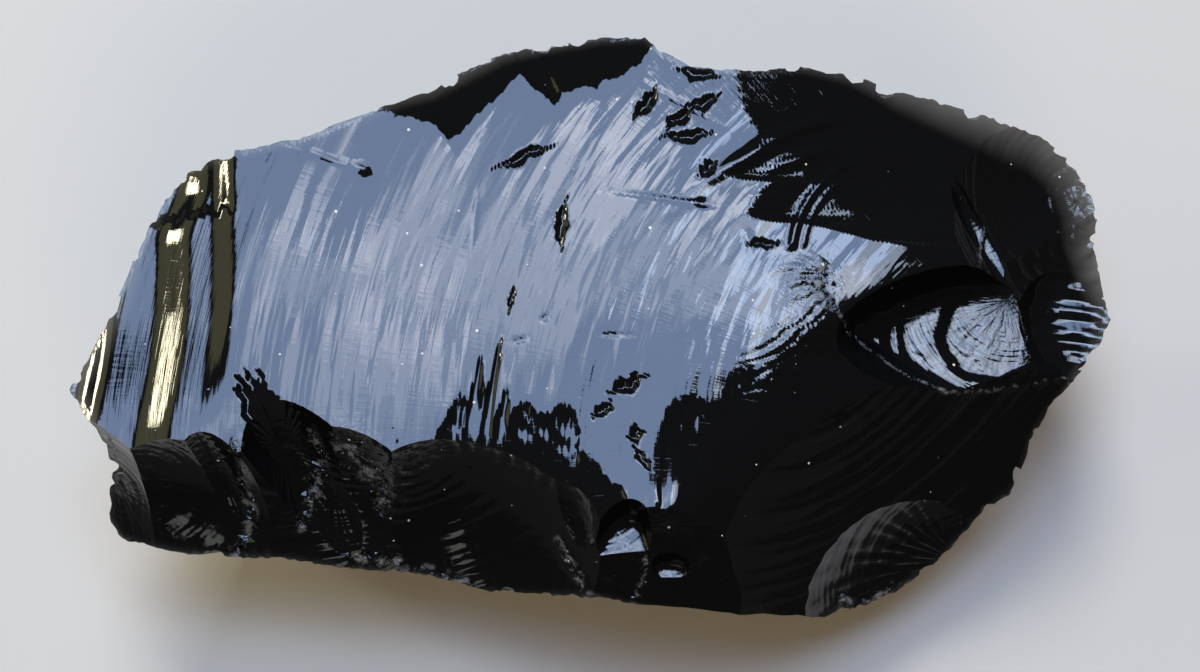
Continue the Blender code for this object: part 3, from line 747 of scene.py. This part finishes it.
def make_cutter(sheet, blow, step):
    """A closed block over a sheet, laid out in rings and rays from the struck point."""
    spots = sheet.to_local(corners)
    low = spots.min(axis=0) - CUTTER_MARGIN
    high = spots.max(axis=0) + CUTTER_MARGIN
    ring, turn, has_hub = cutter_grid(sheet, low, high, step)
    along = ring[:, None] * np.cos(turn) - sheet.strike_distance
    across = ring[:, None] * np.sin(turn)
    height = sheet.height(along, across)
    inside = ((along > low[0] - step) & (along < high[0] + step) & (across > low[1] - step)
              & (across < high[1] + step) & (height < high[2] + CUTTER_MARGIN))
    index = np.arange(along.size).reshape(along.shape)
    inner, outer = index[:-1], index[1:]
    quads = np.stack([inner, outer, np.roll(outer, -1, 1), np.roll(inner, -1, 1)], -1)
    quads = quads.reshape(-1, 4)
    faces = quads[inside.ravel()[quads].any(1)].tolist()
    points = np.stack([along.ravel(), across.ravel(), height.ravel()], 1)
    if has_hub:
        struck = np.array([-sheet.strike_distance, 0.0])
        points = np.vstack([points, [*struck, float(sheet.height(*struck))]])
        faces += [[len(points) - 1, int(index[0][j]), int(index[0][(j + 1) % len(turn)])]
                  for j in range(len(turn))]
    points, block = closed_block(points, faces)
    mesh = bpy.data.meshes.new(sheet.name)
    mesh.from_pydata((sheet.to_world(points) * MM).tolist(), [], block)
    mesh.update()
    number_faces(mesh, blow)
    return to_scene(sheet.name, mesh)


def strike_off(body, cutter):
    """Take the cutter's space off the stone, then throw the cutter away."""
    boolean = body.modifiers.new("blow", "BOOLEAN")
    boolean.operation = "DIFFERENCE"
    boolean.solver = "MANIFOLD"
    boolean.object = cutter
    with bpy.context.temp_override(object=body, active_object=body):
        bpy.ops.object.modifier_apply(modifier=boolean.name)
    block = cutter.data
    bpy.data.objects.remove(cutter)
    bpy.data.meshes.remove(block)


print("corners of the blank that every cutter has to pass:", len(corners))

# %% [markdown]
# ## The blows, one after the other
# The order is the order of the lists: the main face, the flakes on top of it, then the flanks. Fine
# grids are kept for the hollows that mirror a light, because there every facet would be seen.

# %% Strike
lower = [flank_flake(plain_edge, *row) for row in FLANK_FLAKES]
sheets = upper + lower
for number, sheet in enumerate(sheets):
    grid = FLANK_GRID if sheet in lower else CLOSE_GRIDS.get(sheet.name, FINE_GRID)
    strike_off(stone, make_cutter(sheet, number + 1, grid))
print("faces after", len(sheets), "blows:", len(stone.data.polygons))

# %% [markdown]
# ## Chips along the edge, and crumbled glass
# Years of handling knock small shells off a sharp edge, and a badly aimed blow crushes the glass
# to a ridge of crumbs. On the real stone the crumbs run in lines: down the front left corner, along
# the crest under the scoop and beside the two lit ledges. They could be painted as bumps, but the
# edge is seen against the pale floor, so real bites are cut with small uneven pebbles: a ball with
# few faces, stretched and dented by chance. Its flat faces leave the flat glints of real crumbs.

# %% Chips
FIRST_CHIP = 100
EDGE_CHIPS = 84
EDGE_CHIP_WIDTHS = (0.5, 0.8, 1.1, 1.9)
SINGLE_CHIPS = 26
# lines of crumbs, drawn from above: points, how many, width of the line, half widths of a crumb
CRUMB_LINES = [
    ([(-42.6, -15.5), (-42.9, -19.5), (-42.0, -23.0), (-45.0, -27.3)], 48, 1.1, (0.35, 1.5)),
    ([(-34.4, -13.6), (-33.2, -16.5), (-34.8, -20.0), (-36.4, -24.0)], 42, 0.9, (0.35, 1.3)),
    ([(-30.5, -15.0), (-27.5, -17.5), (-25.6, -21.0)], 60, 2.2, (0.3, 1.0)),
    ([(-30.0, -27.5), (-22.0, -28.5), (-16.0, -30.5)], 16, 0.7, (0.3, 0.8)),
    ([(-5.0, -26.0), (-3.6, -28.6), (-1.6, -32.0)], 26, 0.7, (0.25, 0.7)),
    ([(5.4, -28.5), (5.2, -31.0), (4.2, -33.2)], 14, 0.5, (0.25, 0.6)),
    ([(28.0, 0.3), (32.2, -2.6), (36.8, -5.8), (42.3, -8.0)], 46, 0.35, (0.2, 0.5)),
    ([(42.3, -8.0), (49.0, -7.3), (58.0, -5.4)], 18, 0.25, (0.15, 0.4)),
    ([(50.8, 3.4), (52.0, 1.8), (52.6, -0.6), (51.8, -4.0)], 24, 0.35, (0.2, 0.5)),
    ([(26.6, 6.0), (26.0, 3.0), (28.0, 0.3)], 26, 0.7, (0.2, 0.5)),
    ([(47.4, 12.0), (46.8, 9.0), (45.6, 6.6)], 12, 0.3, (0.2, 0.5)),
    ([(30.0, -31.5), (33.0, -32.4), (38.0, -29.5)], 12, 0.6, (0.3, 0.8))]


class Chip:
    """A pebble-shaped bite: its middle, its own turn, its three half widths and its dents."""

    def __init__(self, middle, outward, width, facets):
        squash = [dice.uniform(0.7, 1.3), dice.uniform(0.6, 1.0), dice.uniform(0.4, 0.75)]
        self.reach = width * 1.3
        self.facets = facets
        self.middle = Vector(middle) + Vector(outward) * 0.18 * width
        spin = Matrix.Rotation(dice.uniform(0.0, 6.28), 3, "Z")
        tip = Matrix.Rotation(dice.uniform(-0.6, 0.6), 3, "X")
        self.turn = Vector(outward).to_track_quat("Z", "Y").to_matrix() @ spin @ tip
        self.size = [width * share for share in squash]
        self.seed = dice.random()


def edge_chip():
    """A bite somewhere on the edge, from above or from below."""
    place = dice.randrange(len(ragged_edge))
    start = ragged_edge[place]
    end = ragged_edge[(place + 3) % len(ragged_edge)]
    course = (end - start).normalized()
    tilt = dice.choice((-0.7, 0.8)) + dice.uniform(-0.25, 0.25)
    outward = Vector((course.y, -course.x, tilt))
    if outward.xy.dot(start.xy - Vector(BASE_CENTRE)) < 0.0:
        outward.xy = -outward.xy
    return Chip(start, outward.normalized(), dice.choice(EDGE_CHIP_WIDTHS), 2)


def single_chip():
    """A lone nick on the front slope."""
    x = dice.uniform(-52.0, 48.0)
    y = dice.uniform(-28.0, -16.0) + 0.004 * x * x
    outward = Vector((dice.uniform(-0.4, 0.4), dice.uniform(-0.6, 0.2), 1.0)).normalized()
    return Chip((x, y, top_at(x, y) + 0.05), outward, dice.uniform(0.2, 0.5), 1)


def crumb(line, spread, small, large):
    """One crumb close to a line; most are small."""
    place = dice.random() * (len(line) - 1)
    spot = Vector(line[int(place)]).lerp(Vector(line[int(place) + 1]), place - int(place))
    x = spot.x + dice.gauss(0.0, 0.5 * spread)
    y = spot.y + dice.gauss(0.0, 0.5 * spread)
    outward = Vector((dice.uniform(-0.6, 0.6), dice.uniform(-0.7, 0.4), 1.0)).normalized()
    width = small + (large - small) * dice.random() ** 2
    return Chip((x, y, top_at(x, y) + 0.1 * width), outward, width, 1)


def sort_into_layers(chips):
    """Split the chips into layers, so that no two pebbles in a layer touch."""
    layers = []
    for number, chip in enumerate(chips):
        for layer in layers:
            if all((chip.middle - other.middle).length > 1.1 * (chip.reach + other.reach)
                   for _, other in layer):
                layer.append((number, chip))
                break
        else:
            layers.append([(number, chip)])
    return layers


def pebbles(layer):
    """All the pebbles of one layer as a single cutter."""
    shape = bmesh.new()
    tag = shape.faces.layers.int.new("blow")
    for number, chip in layer:
        size = Matrix.Diagonal((*chip.size, 1.0))
        place = Matrix.Translation(chip.middle) @ chip.turn.to_4x4() @ size
        made = bmesh.ops.create_icosphere(shape, subdivisions=chip.facets, radius=1.0)
        dents = random.Random(chip.seed)
        for vertex in made["verts"]:
            vertex.co = place @ (vertex.co * dents.uniform(0.78, 1.0)) * MM
        for face in {face for vertex in made["verts"] for face in vertex.link_faces}:
            face[tag] = FIRST_CHIP + number
    mesh = bpy.data.meshes.new("pebbles")
    shape.to_mesh(mesh)
    shape.free()
    return to_scene("pebbles", mesh)


chips = [edge_chip() for _ in range(EDGE_CHIPS)] + [single_chip() for _ in range(SINGLE_CHIPS)]
for line, count, spread, (small, large) in CRUMB_LINES:
    chips += [crumb(line, spread, small, large) for _ in range(count)]
layers = sort_into_layers(chips)
for layer in layers:
    strike_off(stone, pebbles(layer))
print("chips:", len(chips), "in", len(layers), "layers; faces now", len(stone.data.polygons))

# %% [markdown]
# ## One clean body
# A cut can leave a loose crumb beside the stone. Keeping only the largest connected body is the
# simplest cure; welding by distance would risk closing the thin edge.

# %% Keep the stone, drop the crumbs


def drop_crumbs(thing):
    """Keep the largest body of a mesh; gives how many went, and how many edges are open."""
    shape = bmesh.new()
    shape.from_mesh(thing.data)
    unseen = set(shape.verts)
    pieces = []
    while unseen:
        piece = {unseen.pop()}
        front = list(piece)
        while front:
            vertex = front.pop()
            for edge in vertex.link_edges:
                other = edge.other_vert(vertex)
                if other in unseen:
                    unseen.remove(other)
                    piece.add(other)
                    front.append(other)
        pieces.append(piece)
    pieces.sort(key=len)
    for piece in pieces[:-1]:
        bmesh.ops.delete(shape, geom=list(piece), context="VERTS")
    loose = [edge for edge in shape.edges if not edge.is_manifold]
    shape.to_mesh(thing.data)
    shape.free()
    return len(pieces) - 1, len(loose)


print("crumbs dropped, open edges:", drop_crumbs(stone))

# %% [markdown]
# ## Exact shading and the marks that the finish needs
# Smooth shading would average the normals over a ridge. Instead each corner of each face gets the
# true direction of the sheet that made it, so ridges stay crisp and ripples flow, and the chips
# keep their flat faces. The same pass stores, for the finish, the distance and turn from the
# struck point, where the thin edge gets its painted glow of light passing through, and where the
# glass is bruised, combed, rippled or streaked.

# %% Normals and marks
mesh = stone.data
spots = np.empty(len(mesh.vertices) * 3)
mesh.vertices.foreach_get("co", spots)
spots = spots.reshape(-1, 3) / MM
corner_vertex = np.empty(len(mesh.loops), int)
mesh.loops.foreach_get("vertex_index", corner_vertex)
blow = np.empty(len(mesh.polygons), np.int32)
mesh.attributes["blow"].data.foreach_get("value", blow)
sides = np.empty(len(mesh.polygons), int)
mesh.polygons.foreach_get("loop_total", sides)
flat = np.empty(len(mesh.polygons) * 3)
mesh.polygons.foreach_get("normal", flat)
owner = np.repeat(blow, sides)
normals = np.repeat(flat.reshape(-1, 3), sides, axis=0)
at = spots[corner_vertex]
lines = np.zeros((len(at), 3))
for number, sheet in enumerate(sheets):
    mine = owner == number + 1
    if mine.any():
        normals[mine] = sheet.normals(at[mine])
        local = sheet.to_local(at[mine])
        ring, turn = sheet.rings(local[:, 0], local[:, 1])
        lines[mine] = np.stack([ring, turn, np.full_like(ring, 3.7 * number)], axis=1)
mine = owner >= FIRST_CHIP
lines[mine] = at[mine] * (1.0, 0.1, 1.0)
mesh.polygons.foreach_set("use_smooth", np.ones(len(mesh.polygons), bool))


# painted glow of light through the thin edge: middle, two radii, heading, how far in it shows
THIN_PLACES = [((48, 22), (17, 12), 0, 4.2), ((-22, 27), (26, 8), 25, 1.3),
               ((61, 12), (7, 12), 0, 3.0), ((-60, -2), (9, 14), 0, 2.4)]
THIN_ELSEWHERE = 0.7
# where fine lines are combed along the rays, and where ripples are closest: the same, and strength
COMBED_PLACES = [((23.5, 29.0), (9.0, 3.4), 8, 1.2), ((-56.5, -2.0), (3.2, 13.0), -12, 0.3),
                 ((39.0, -28.0), (6.0, 4.5), 0, 0.2)]
RIPPLED_PLACES = [((46.0, -1.0), (13.0, 8.0), -20, 1.0), ((57.5, 8.0), (6.0, 8.0), 0, 1.0),
                  ((40.0, -18.0), (16.0, 12.0), 0, 0.3)]
STREAKED_PLACES = [((-50.0, -1.0), (5.5, 15.0), -14, 1.0)]
BRUISED_PLACES = [((24.0, 3.8), (2.4, 3.8), 25, 0.35)]
CRUMBS_OVER = 8.0


def distance_to_line(line, x, y):
    """Distance in plan from each point to a line through the given points."""
    best = np.full_like(x, 1e9)
    for (ax, ay), (bx, by) in zip(line, line[1:]):
        run = (bx - ax, by - ay)
        share = ((x - ax) * run[0] + (y - ay) * run[1]) / (run[0] ** 2 + run[1] ** 2)
        share = np.clip(share, 0.0, 1.0)
        best = np.minimum(best, np.hypot(x - ax - share * run[0], y - ay - share * run[1]))
    return best


def near_crumbs(x, y):
    """1 on a line of crumbs, fading out over its width."""
    return np.max([np.exp(-(distance_to_line(line, x, y) / (0.9 * spread)) ** 2)
                   for line, _, spread, _ in CRUMB_LINES], axis=0)


x, y, z = spots.T
to_edge = distance_to_line(RIM + RIM[:1], x, y)
thin_at = hills(THIN_PLACES, x, y) + THIN_ELSEWHERE
# painted light: a grey glow towards the thin edge, standing in for light that passes through it
painted_edge_glow = np.clip(1.0 - to_edge / thin_at, 0.0, 1.0) ** 1.3 * np.clip(thin_at / 4.0, 0.15, 1.0)
painted_edge_glow = painted_edge_glow * (z > LOWEST_EDGE)
bruise = (0.75 * near_crumbs(x, y) * (z > CRUMBS_OVER) + hills(BRUISED_PLACES, x, y)
          + 0.45 * np.clip(1.0 - to_edge / 0.6, 0.0, 1.0))
combed = hills(COMBED_PLACES, x, y) + 0.06
rippled = hills(RIPPLED_PLACES, x, y) + 0.15
streaked = np.clip(hills(STREAKED_PLACES, x, y), 0.0, 1.0)
# the first channel of these marks is painted light (the edge glow); the other three are real marks
marks = np.clip(np.stack([painted_edge_glow, bruise, combed, rippled], axis=1), 0.0, 1.0)
print("faces:", len(mesh.polygons), " corners:", len(at),
      " mean smoke:", round(float(painted_edge_glow.mean()), 3))

# %% [markdown]
# ## Setting the stone on its base
# The fine stone is moved as a whole, never scaled, so that the middle of its footprint and its
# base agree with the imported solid. Then it is told to ride with the frame and stand for it.

# %% Place the stone
low, high = spots.min(axis=0), spots.max(axis=0)
shift = np.array([(stone_low[k] + stone_high[k]) / 2.0 / MM - (low[k] + high[k]) / 2.0
                  for k in range(3)])
shift[2] = stone_low[2] / MM - low[2]
mesh.vertices.foreach_set("co", ((spots + shift) * MM).ravel())
mesh.normals_split_custom_set(normals.tolist())
for name, kind, domain, field, values in (
        ("lines", "FLOAT_VECTOR", "CORNER", "vector", lines),
        ("marks", "FLOAT_COLOR", "POINT", "color", marks),
        ("streaked", "FLOAT", "POINT", "value", streaked)):
    mesh.attributes.new(name, kind, domain).data.foreach_set(field, values.ravel())
mesh.update()
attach(stone, "root")
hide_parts("obsidian_chunk")
print("moved by, mm:", shift.round(2), " size, mm:", (high - low).round(1))

# %% [markdown]
# ## Writing shader sums in Python
# A finish is a small calculation, repeated at every point. Wiring it by hand gets long, so one
# class wraps a socket and turns +, - and * into Math nodes, and one method adds every other
# kind of node from its type, its settings and what goes into its sockets.

# %% Shader helper


class Finish:
    """A material and the nodes in it."""

    def __init__(self, name):
        self.material = bpy.data.materials.new(name)
        self.material.use_nodes = True
        self.tree = self.material.node_tree
        self.shader = self.tree.nodes["Principled BSDF"]

    def connect(self, value, socket):
        if isinstance(value, Wire):
            self.tree.links.new(value.socket, socket)
        elif hasattr(value, "__len__") and len(value) == 3 and len(socket.default_value) == 4:
            socket.default_value = (*value, 1.0)
        else:
            socket.default_value = value

    def add(self, kind, settings=None, inputs=None, out=0):
        """Any node: its type, settings such as an operation, and values or links by socket."""
        node = self.tree.nodes.new(kind)
        for name, value in (settings or {}).items():
            setattr(node, name, value)
        for name, value in (inputs or {}).items():
            self.connect(value, node.inputs[name])
        return Wire(self, node.outputs[out])

    def set(self, **values):
        """The main shader's own sockets, with _ for a space in a socket's name."""
        for name, value in values.items():
            self.connect(value, self.shader.inputs[name.replace("_", " ")])


class Wire:
    """A socket that takes part in sums: 1 - mask adds the Math node that works it out."""

    def __init__(self, finish, socket):
        self.finish = finish
        self.socket = socket

    def sum(self, operation, first, second):
        return self.finish.add("ShaderNodeMath", {"operation": operation}, {0: first, 1: second})

    def __add__(self, other):
        return self.sum("ADD", self, other)

    def __radd__(self, other):
        return self.sum("ADD", other, self)

    def __sub__(self, other):
        return self.sum("SUBTRACT", self, other)

    def __rsub__(self, other):
        return self.sum("SUBTRACT", other, self)

    def __mul__(self, other):
        return self.sum("MULTIPLY", self, other)

    def __rmul__(self, other):
        return self.sum("MULTIPLY", other, self)

    def wave(self):
        return self.sum("SINE", self, 0.0)

    def size(self):
        return self.sum("ABSOLUTE", self, 0.0)

    def between(self, low, high):
        """0 under low, 1 over high, with a soft rise between."""
        return self.finish.add("ShaderNodeMapRange", {"interpolation_type": "SMOOTHSTEP"},
                               {"Value": self, "From Min": low, "From Max": high})

    def siblings(self):
        """Every output of the node that this socket belongs to."""
        return [Wire(self.finish, output) for output in self.socket.node.outputs]


print("shader helper ready")

# %% [markdown]
# ## Obsidian
# Polished black glass is simple: almost no colour of its own and a very sharp sheen. What makes it
# real is what breaks that sheen. Hair-fine ripples follow the rings, combed hackle lines follow
# the rays, bruised glass goes pale and rough, and the thin edge has a painted smoky glow.
# True transmission would let light through the edge, but a solid black block needs long light
# paths for almost no gain, so that light is painted instead: a grey colour that grows over the
# last few millimetres.

# %% Obsidian finish
BLACK_GLASS = (0.0030, 0.0033, 0.0037)
# painted light: the grey of the thin edge, where light would pass through the glass
PAINTED_EDGE_GLOW = (0.105, 0.100, 0.092)
BRUISED_GLASS = (0.34, 0.35, 0.36)
DUST = (0.62, 0.61, 0.58)

# relief in steps of 4 micrometres: how high each kind of line or grain stands
RELIEF_STEP = 4.0e-6
COMB_RELIEF = 15.0
FLOW_RELIEF = 3.6
DRIFT_RELIEF = 22.0
SCRATCH_RELIEF = 0.35
STREAK_RELIEF = 16.0
CRUMBLE_RELIEF = 60.0
# flecks of dust: cells to the metre, and the share of cells that hold none
DUST_CELLS = 480.0
DUST_FREE = 0.70

glass = Finish("obsidian_glass")
place = glass.add("ShaderNodeTexCoord", out="Object")
line_vector = glass.add("ShaderNodeAttribute", {"attribute_name": "lines"}, out="Vector")
ring, turn, family = glass.add("ShaderNodeSeparateXYZ", inputs={0: line_vector}).siblings()
# the red channel of these marks is the painted glow of light through the thin edge
mark_node = glass.add("ShaderNodeAttribute", {"attribute_name": "marks"}, out="Color")
mark_split = glass.add("ShaderNodeSeparateColor", inputs={0: mark_node})
painted_edge_glow_mark, bruise_mark, combed_mark = mark_split.siblings()
rippled_mark = glass.add("ShaderNodeAttribute", {"attribute_name": "marks"}, out="Alpha")
streak_mark = glass.add("ShaderNodeAttribute", {"attribute_name": "streaked"}, out="Fac")


def noise(vector, scale, detail=2.0, roughness=0.5):
    return glass.add("ShaderNodeTexNoise", {"noise_dimensions": "3D"},
                     {"Vector": vector, "Scale": scale, "Detail": detail, "Roughness": roughness})


def lay(first, second):
    """A place on the sheet, so that noise can run along its rings or its rays."""
    return glass.add("ShaderNodeCombineXYZ", inputs={0: first, 1: second, 2: family})


def over(under, cover, share):
    """One colour laid over another."""
    return glass.add("ShaderNodeMix", {"data_type": "RGBA"}, {"Factor": share, 6: under, 7: cover},
                     out=2)


# %% Relief of the glass
wander = noise(place, 210.0, 3.0)
fine_rings = (ring * 10.5 + wander * 9.0).wave() * noise(place, 330.0).between(0.45, 0.62)
combing = noise(lay(turn * 150.0, ring * 0.22), 1.0, 2.0, 0.6)
flow = noise(lay(ring * 1.15, turn * 7.0), 1.0, 2.0, 0.5)
drift = noise(lay(ring * 0.33, turn * 4.5), 1.0, 2.0, 0.55)
streaks = noise(lay(ring * 2.4, turn * 8.0), 1.0, 3.0, 0.6)
scratches = noise(lay(ring * 0.16 + wander * 0.6, turn * 260.0), 1.0, 1.0).between(0.70, 0.76)
crumble = noise(place, 620.0, 4.0, 0.7)
relief = (fine_rings * (rippled_mark * 0.7 + 0.05) + combing * (combed_mark * COMB_RELIEF)
          + flow * FLOW_RELIEF + drift * DRIFT_RELIEF + scratches * SCRATCH_RELIEF
          + streaks * (streak_mark * STREAK_RELIEF) + crumble * (bruise_mark * CRUMBLE_RELIEF))
bump = glass.add("ShaderNodeBump",
                 inputs={"Strength": 1.0, "Distance": RELIEF_STEP, "Height": relief})
print("relief nodes:", len(glass.tree.nodes))

# %% Colour and sheen of the glass
cell_distance, cell_colour = glass.add("ShaderNodeTexVoronoi", {"feature": "F1"},
                                       {"Vector": place, "Scale": DUST_CELLS}).siblings()[:2]
cell_choice, cell_size, _ = glass.add("ShaderNodeSeparateColor",
                                      inputs={0: cell_colour}).siblings()
chosen = cell_choice.between(DUST_FREE, DUST_FREE + 0.005)
speck = (0.03 + 0.07 * cell_size - cell_distance).between(0.0, 0.012) * chosen
pale = (bruise_mark * crumble.between(0.40, 0.66)).between(0.12, 0.75)
grit = noise(place, 1500.0, 3.0, 0.65)
# painted light: the thin edge is tinted grey as if lit through from behind
tint = over(BLACK_GLASS, PAINTED_EDGE_GLOW, painted_edge_glow_mark * (0.75 + 0.5 * wander))
tint = over(tint, BRUISED_GLASS, pale * 0.38)
tint = over(tint, DUST, speck)
sheen = 0.03 + 0.02 * grit + pale * 0.34 + painted_edge_glow_mark * 0.05 + speck * 0.6
glass.set(Base_Color=tint, Roughness=sheen, Normal=bump, Metallic=0.0, IOR=1.49)
mesh.materials.clear()
mesh.materials.append(glass.material)
print("obsidian nodes:", len(glass.tree.nodes))

# %% [markdown]
# ## Floor
# The chunk lies on a plain pale sheet. A single plane is enough, since nothing marks it but the
# stone's own soft shadow, and a faint unevenness keeps the paper from looking like paint.
# Round the sheet the colour goes dark: painted shade, for light that falls off into a dim room.
# That dark matters as much as the sheet: the steep faces mirror it, and so stay dark.

# %% Floor
FLOOR_HALF = 1.6
# where the painted shade round the sheet starts and where it is full, from the sheet's middle
SHEET_HALF_WIDTH = (0.088, 0.120)
SHEET_HALF_DEPTH = (0.050, 0.082)
SHEET_MIDDLE_Y = 0.006
PAPER_DARKER = (0.48, 0.475, 0.455)
PAPER_PALER = (0.54, 0.535, 0.515)
# painted shade: the dark round the sheet, for light that falls off into a dim room
PAINTED_DIM_SURROUND = (0.06, 0.058, 0.055)

paper = Finish("pale_paper_painted_falloff")
where = paper.add("ShaderNodeTexCoord", out="Object")
mottle = paper.add("ShaderNodeTexNoise", inputs={"Vector": where, "Scale": 6.0, "Detail": 3.0})
across, behind, _ = paper.add("ShaderNodeSeparateXYZ", inputs={0: where}).siblings()
past_sides = across.size().between(*SHEET_HALF_WIDTH)
past_ends = (behind - SHEET_MIDDLE_Y).size().between(*SHEET_HALF_DEPTH)
# painted shade: 1 past the sides or ends of the sheet, where the floor turns dark
painted_falloff = 1.0 - (1.0 - past_sides) * (1.0 - past_ends)
sheet_colour = paper.add("ShaderNodeMix", {"data_type": "RGBA"},
                         {"Factor": mottle, 6: PAPER_DARKER, 7: PAPER_PALER}, out=2)
floor_colour = paper.add("ShaderNodeMix", {"data_type": "RGBA"},
                         {"Factor": painted_falloff, 6: sheet_colour, 7: PAINTED_DIM_SURROUND}, out=2)
paper.set(Base_Color=floor_colour, Roughness=0.9)
floor_mesh = bpy.data.meshes.new("floor")
floor_corners = [(-FLOOR_HALF, -FLOOR_HALF, 0), (FLOOR_HALF, -FLOOR_HALF, 0),
                 (FLOOR_HALF, FLOOR_HALF, 0), (-FLOOR_HALF, FLOOR_HALF, 0)]
floor_mesh.from_pydata(floor_corners, [], [(0, 1, 2, 3)])
floor_mesh.materials.append(paper.material)
floor = to_scene("floor", floor_mesh)
floor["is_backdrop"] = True
print("paper nodes:", len(paper.tree.nodes))

# %% [markdown]
# ## Light
# Black glass shows almost nothing but its surroundings, so the lamps are set for what it mirrors.
# A wide blue panel overhead and a little behind is the sky for the nearly level faces, with a
# second one to the right for the floor of the scoop. Weak milky panels in front of them break the
# evenness like thin cloud. Low on the left a golden strip and an olive glow catch the stepped end,
# and a faint lamp in front gives the chips a glint. The soft shadow comes from a lamp behind the
# stone and a warm one in front, which the glass doesn't mirror. The room stays dim, so steep faces
# go black. One sky image would do all this at once, but lamps can be moved one at a time.

# %% Lamps
PANEL_HEIGHT = 1.2
AIM = Vector((0.0, 0.0, 0.03))
MILK = (1.0, 0.96, 0.97)
# overhead panels: name, how far aside and behind for each metre up, size, glow, colour, turn
PANELS = [("sky", -0.085, 0.27, (0.88, 0.52), 8.0, (0.44, 0.62, 1.0), 0.3),
          ("side_sky", 0.235, 0.235, (0.26, 0.28), 8.5, (0.62, 0.76, 1.0), 0.0),
          ("milk_wide", -0.080, 0.245, (0.34, 0.22), 0.9, MILK, 0.3),
          ("milk_left", -0.150, 0.240, (0.12, 0.12), 1.8, MILK, -0.6),
          ("milk_left_core", -0.172, 0.272, (0.075, 0.036), 2.6, MILK, -0.3),
          ("milk_slope", -0.145, 0.250, (0.10, 0.03), 2.6, MILK, -0.9),
          ("milk_stem", -0.118, 0.190, (0.036, 0.11), 3.4, MILK, 0.05),
          ("milk_middle", -0.045, 0.240, (0.10, 0.13), 2.2, MILK, 0.1),
          ("milk_south", -0.170, 0.175, (0.11, 0.09), 1.7, MILK, 0.2),
          ("milk_north", -0.085, 0.290, (0.14, 0.06), 2.2, MILK, 0.2),
          ("milk_middle_core", -0.015, 0.255, (0.05, 0.08), 1.0, MILK, 0.4),
          ("milk_right", 0.090, 0.245, (0.12, 0.07), 2.8, MILK, 0.2),
          ("milk_top", 0.012, 0.330, (0.15, 0.10), 4.8, MILK, 0.4),
          ("milk_top_core", 0.030, 0.350, (0.08, 0.05), 3.2, MILK, 0.4),
          ("milk_end", -0.230, 0.255, (0.05, 0.05), 2.0, MILK, 0.0),
          ("milk_low", -0.245, 0.125, (0.06, 0.04), 2.4, MILK, 0.0),
          ("milk_far", 0.190, 0.195, (0.13, 0.12), 3.8, MILK, 0.2)]
# lamps that stand lower: name, place, size, power, colour
LOW_LAMPS = [("golden_strip", (-1.168, 0.425, 0.380), (0.25, 0.20), 4.2, (1.0, 0.92, 0.66)),
             ("olive_glow", (-1.05, 0.25, 0.70), (1.2, 0.9), 4.2, (0.62, 0.60, 0.34)),
             ("front_glow", (-0.300, -0.940, 0.688), (0.4, 0.20), 0.3, (0.95, 1.0, 0.92)),
             ("key", (-0.15, 1.05, 1.25), (0.6, 0.6), 21.0, (1.0, 0.97, 0.92)),
             ("warm_fill", (0.25, -0.95, 0.85), (0.8, 0.8), 5.0, (1.0, 0.72, 0.45))]
HIDDEN_FROM_GLASS = ("key", "warm_fill")
ROOM_COLOUR = (0.60, 0.52, 0.42, 1.0)
ROOM_GLOW = 0.07


def lamp(name, spot, size, power, colour, mirrored=True):
    """A round soft lamp that looks at the stone."""
    light = bpy.data.lights.new(name, "AREA")
    light.shape = "ELLIPSE"
    light.size, light.size_y = size
    light.energy = power
    light.color = colour
    thing = to_scene(name, light)
    thing.location = spot
    thing.rotation_euler = (AIM - Vector(spot)).to_track_quat("-Z", "Y").to_euler()
    thing.visible_glossy = mirrored
    return thing


reach = PANEL_HEIGHT - stone_high[2]
for name, aside, behind, size, glow, colour, roll in PANELS:
    power = glow * math.pi * math.pi / 4.0 * size[0] * size[1]
    spot = (aside * reach, behind * reach, PANEL_HEIGHT)
    lamp(name, spot, size, power, colour).rotation_euler.rotate_axis("Z", roll)
for row in LOW_LAMPS:
    lamp(*row, mirrored=row[0] not in HIDDEN_FROM_GLASS)
room = bpy.data.worlds.new("dim_room")
room.use_nodes = True
backdrop = room.node_tree.nodes["Background"]
backdrop.inputs["Color"].default_value = ROOM_COLOUR
backdrop.inputs["Strength"].default_value = ROOM_GLOW
bpy.context.scene.world = room
bpy.context.scene.view_settings.view_transform = "Standard"

# %% [markdown]
# ## Camera
# The chunk is seen from almost straight above, 12 degrees towards the viewer, from a hand's length
# away. A longer lens from further off would frame it too, but would flatten the near edge.

# %% Camera
LENS = 65.0
SENSOR = 36.0
CAMERA_PITCH = math.radians(78.0)
CAMERA_DISTANCE = 0.270
LOOK_AT_HEIGHT = 0.025

camera_data = bpy.data.cameras.new("camera")
camera_data.lens = LENS
camera_data.sensor_width = SENSOR
camera_data.clip_start = 0.01
camera = to_scene("camera", camera_data)
look_at = Vector((shift[0] * MM, shift[1] * MM, LOOK_AT_HEIGHT))
away = Vector((0.0, -math.cos(CAMERA_PITCH), math.sin(CAMERA_PITCH)))
camera.location = look_at + CAMERA_DISTANCE * away
camera.rotation_euler = (look_at - camera.location).to_track_quat("-Z", "Y").to_euler()
bpy.context.scene.camera = camera
print("camera, mm from the stone's middle:", round(CAMERA_DISTANCE / MM))

# %% [markdown]
# ## Measuring the result
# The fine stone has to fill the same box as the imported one. Both boxes are measured and written
# down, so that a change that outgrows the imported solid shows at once.

# %% Sizes and the end
low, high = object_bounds()
print("visual box, mm:", [round((b - a) / MM, 1) for a, b in zip(low, high)])
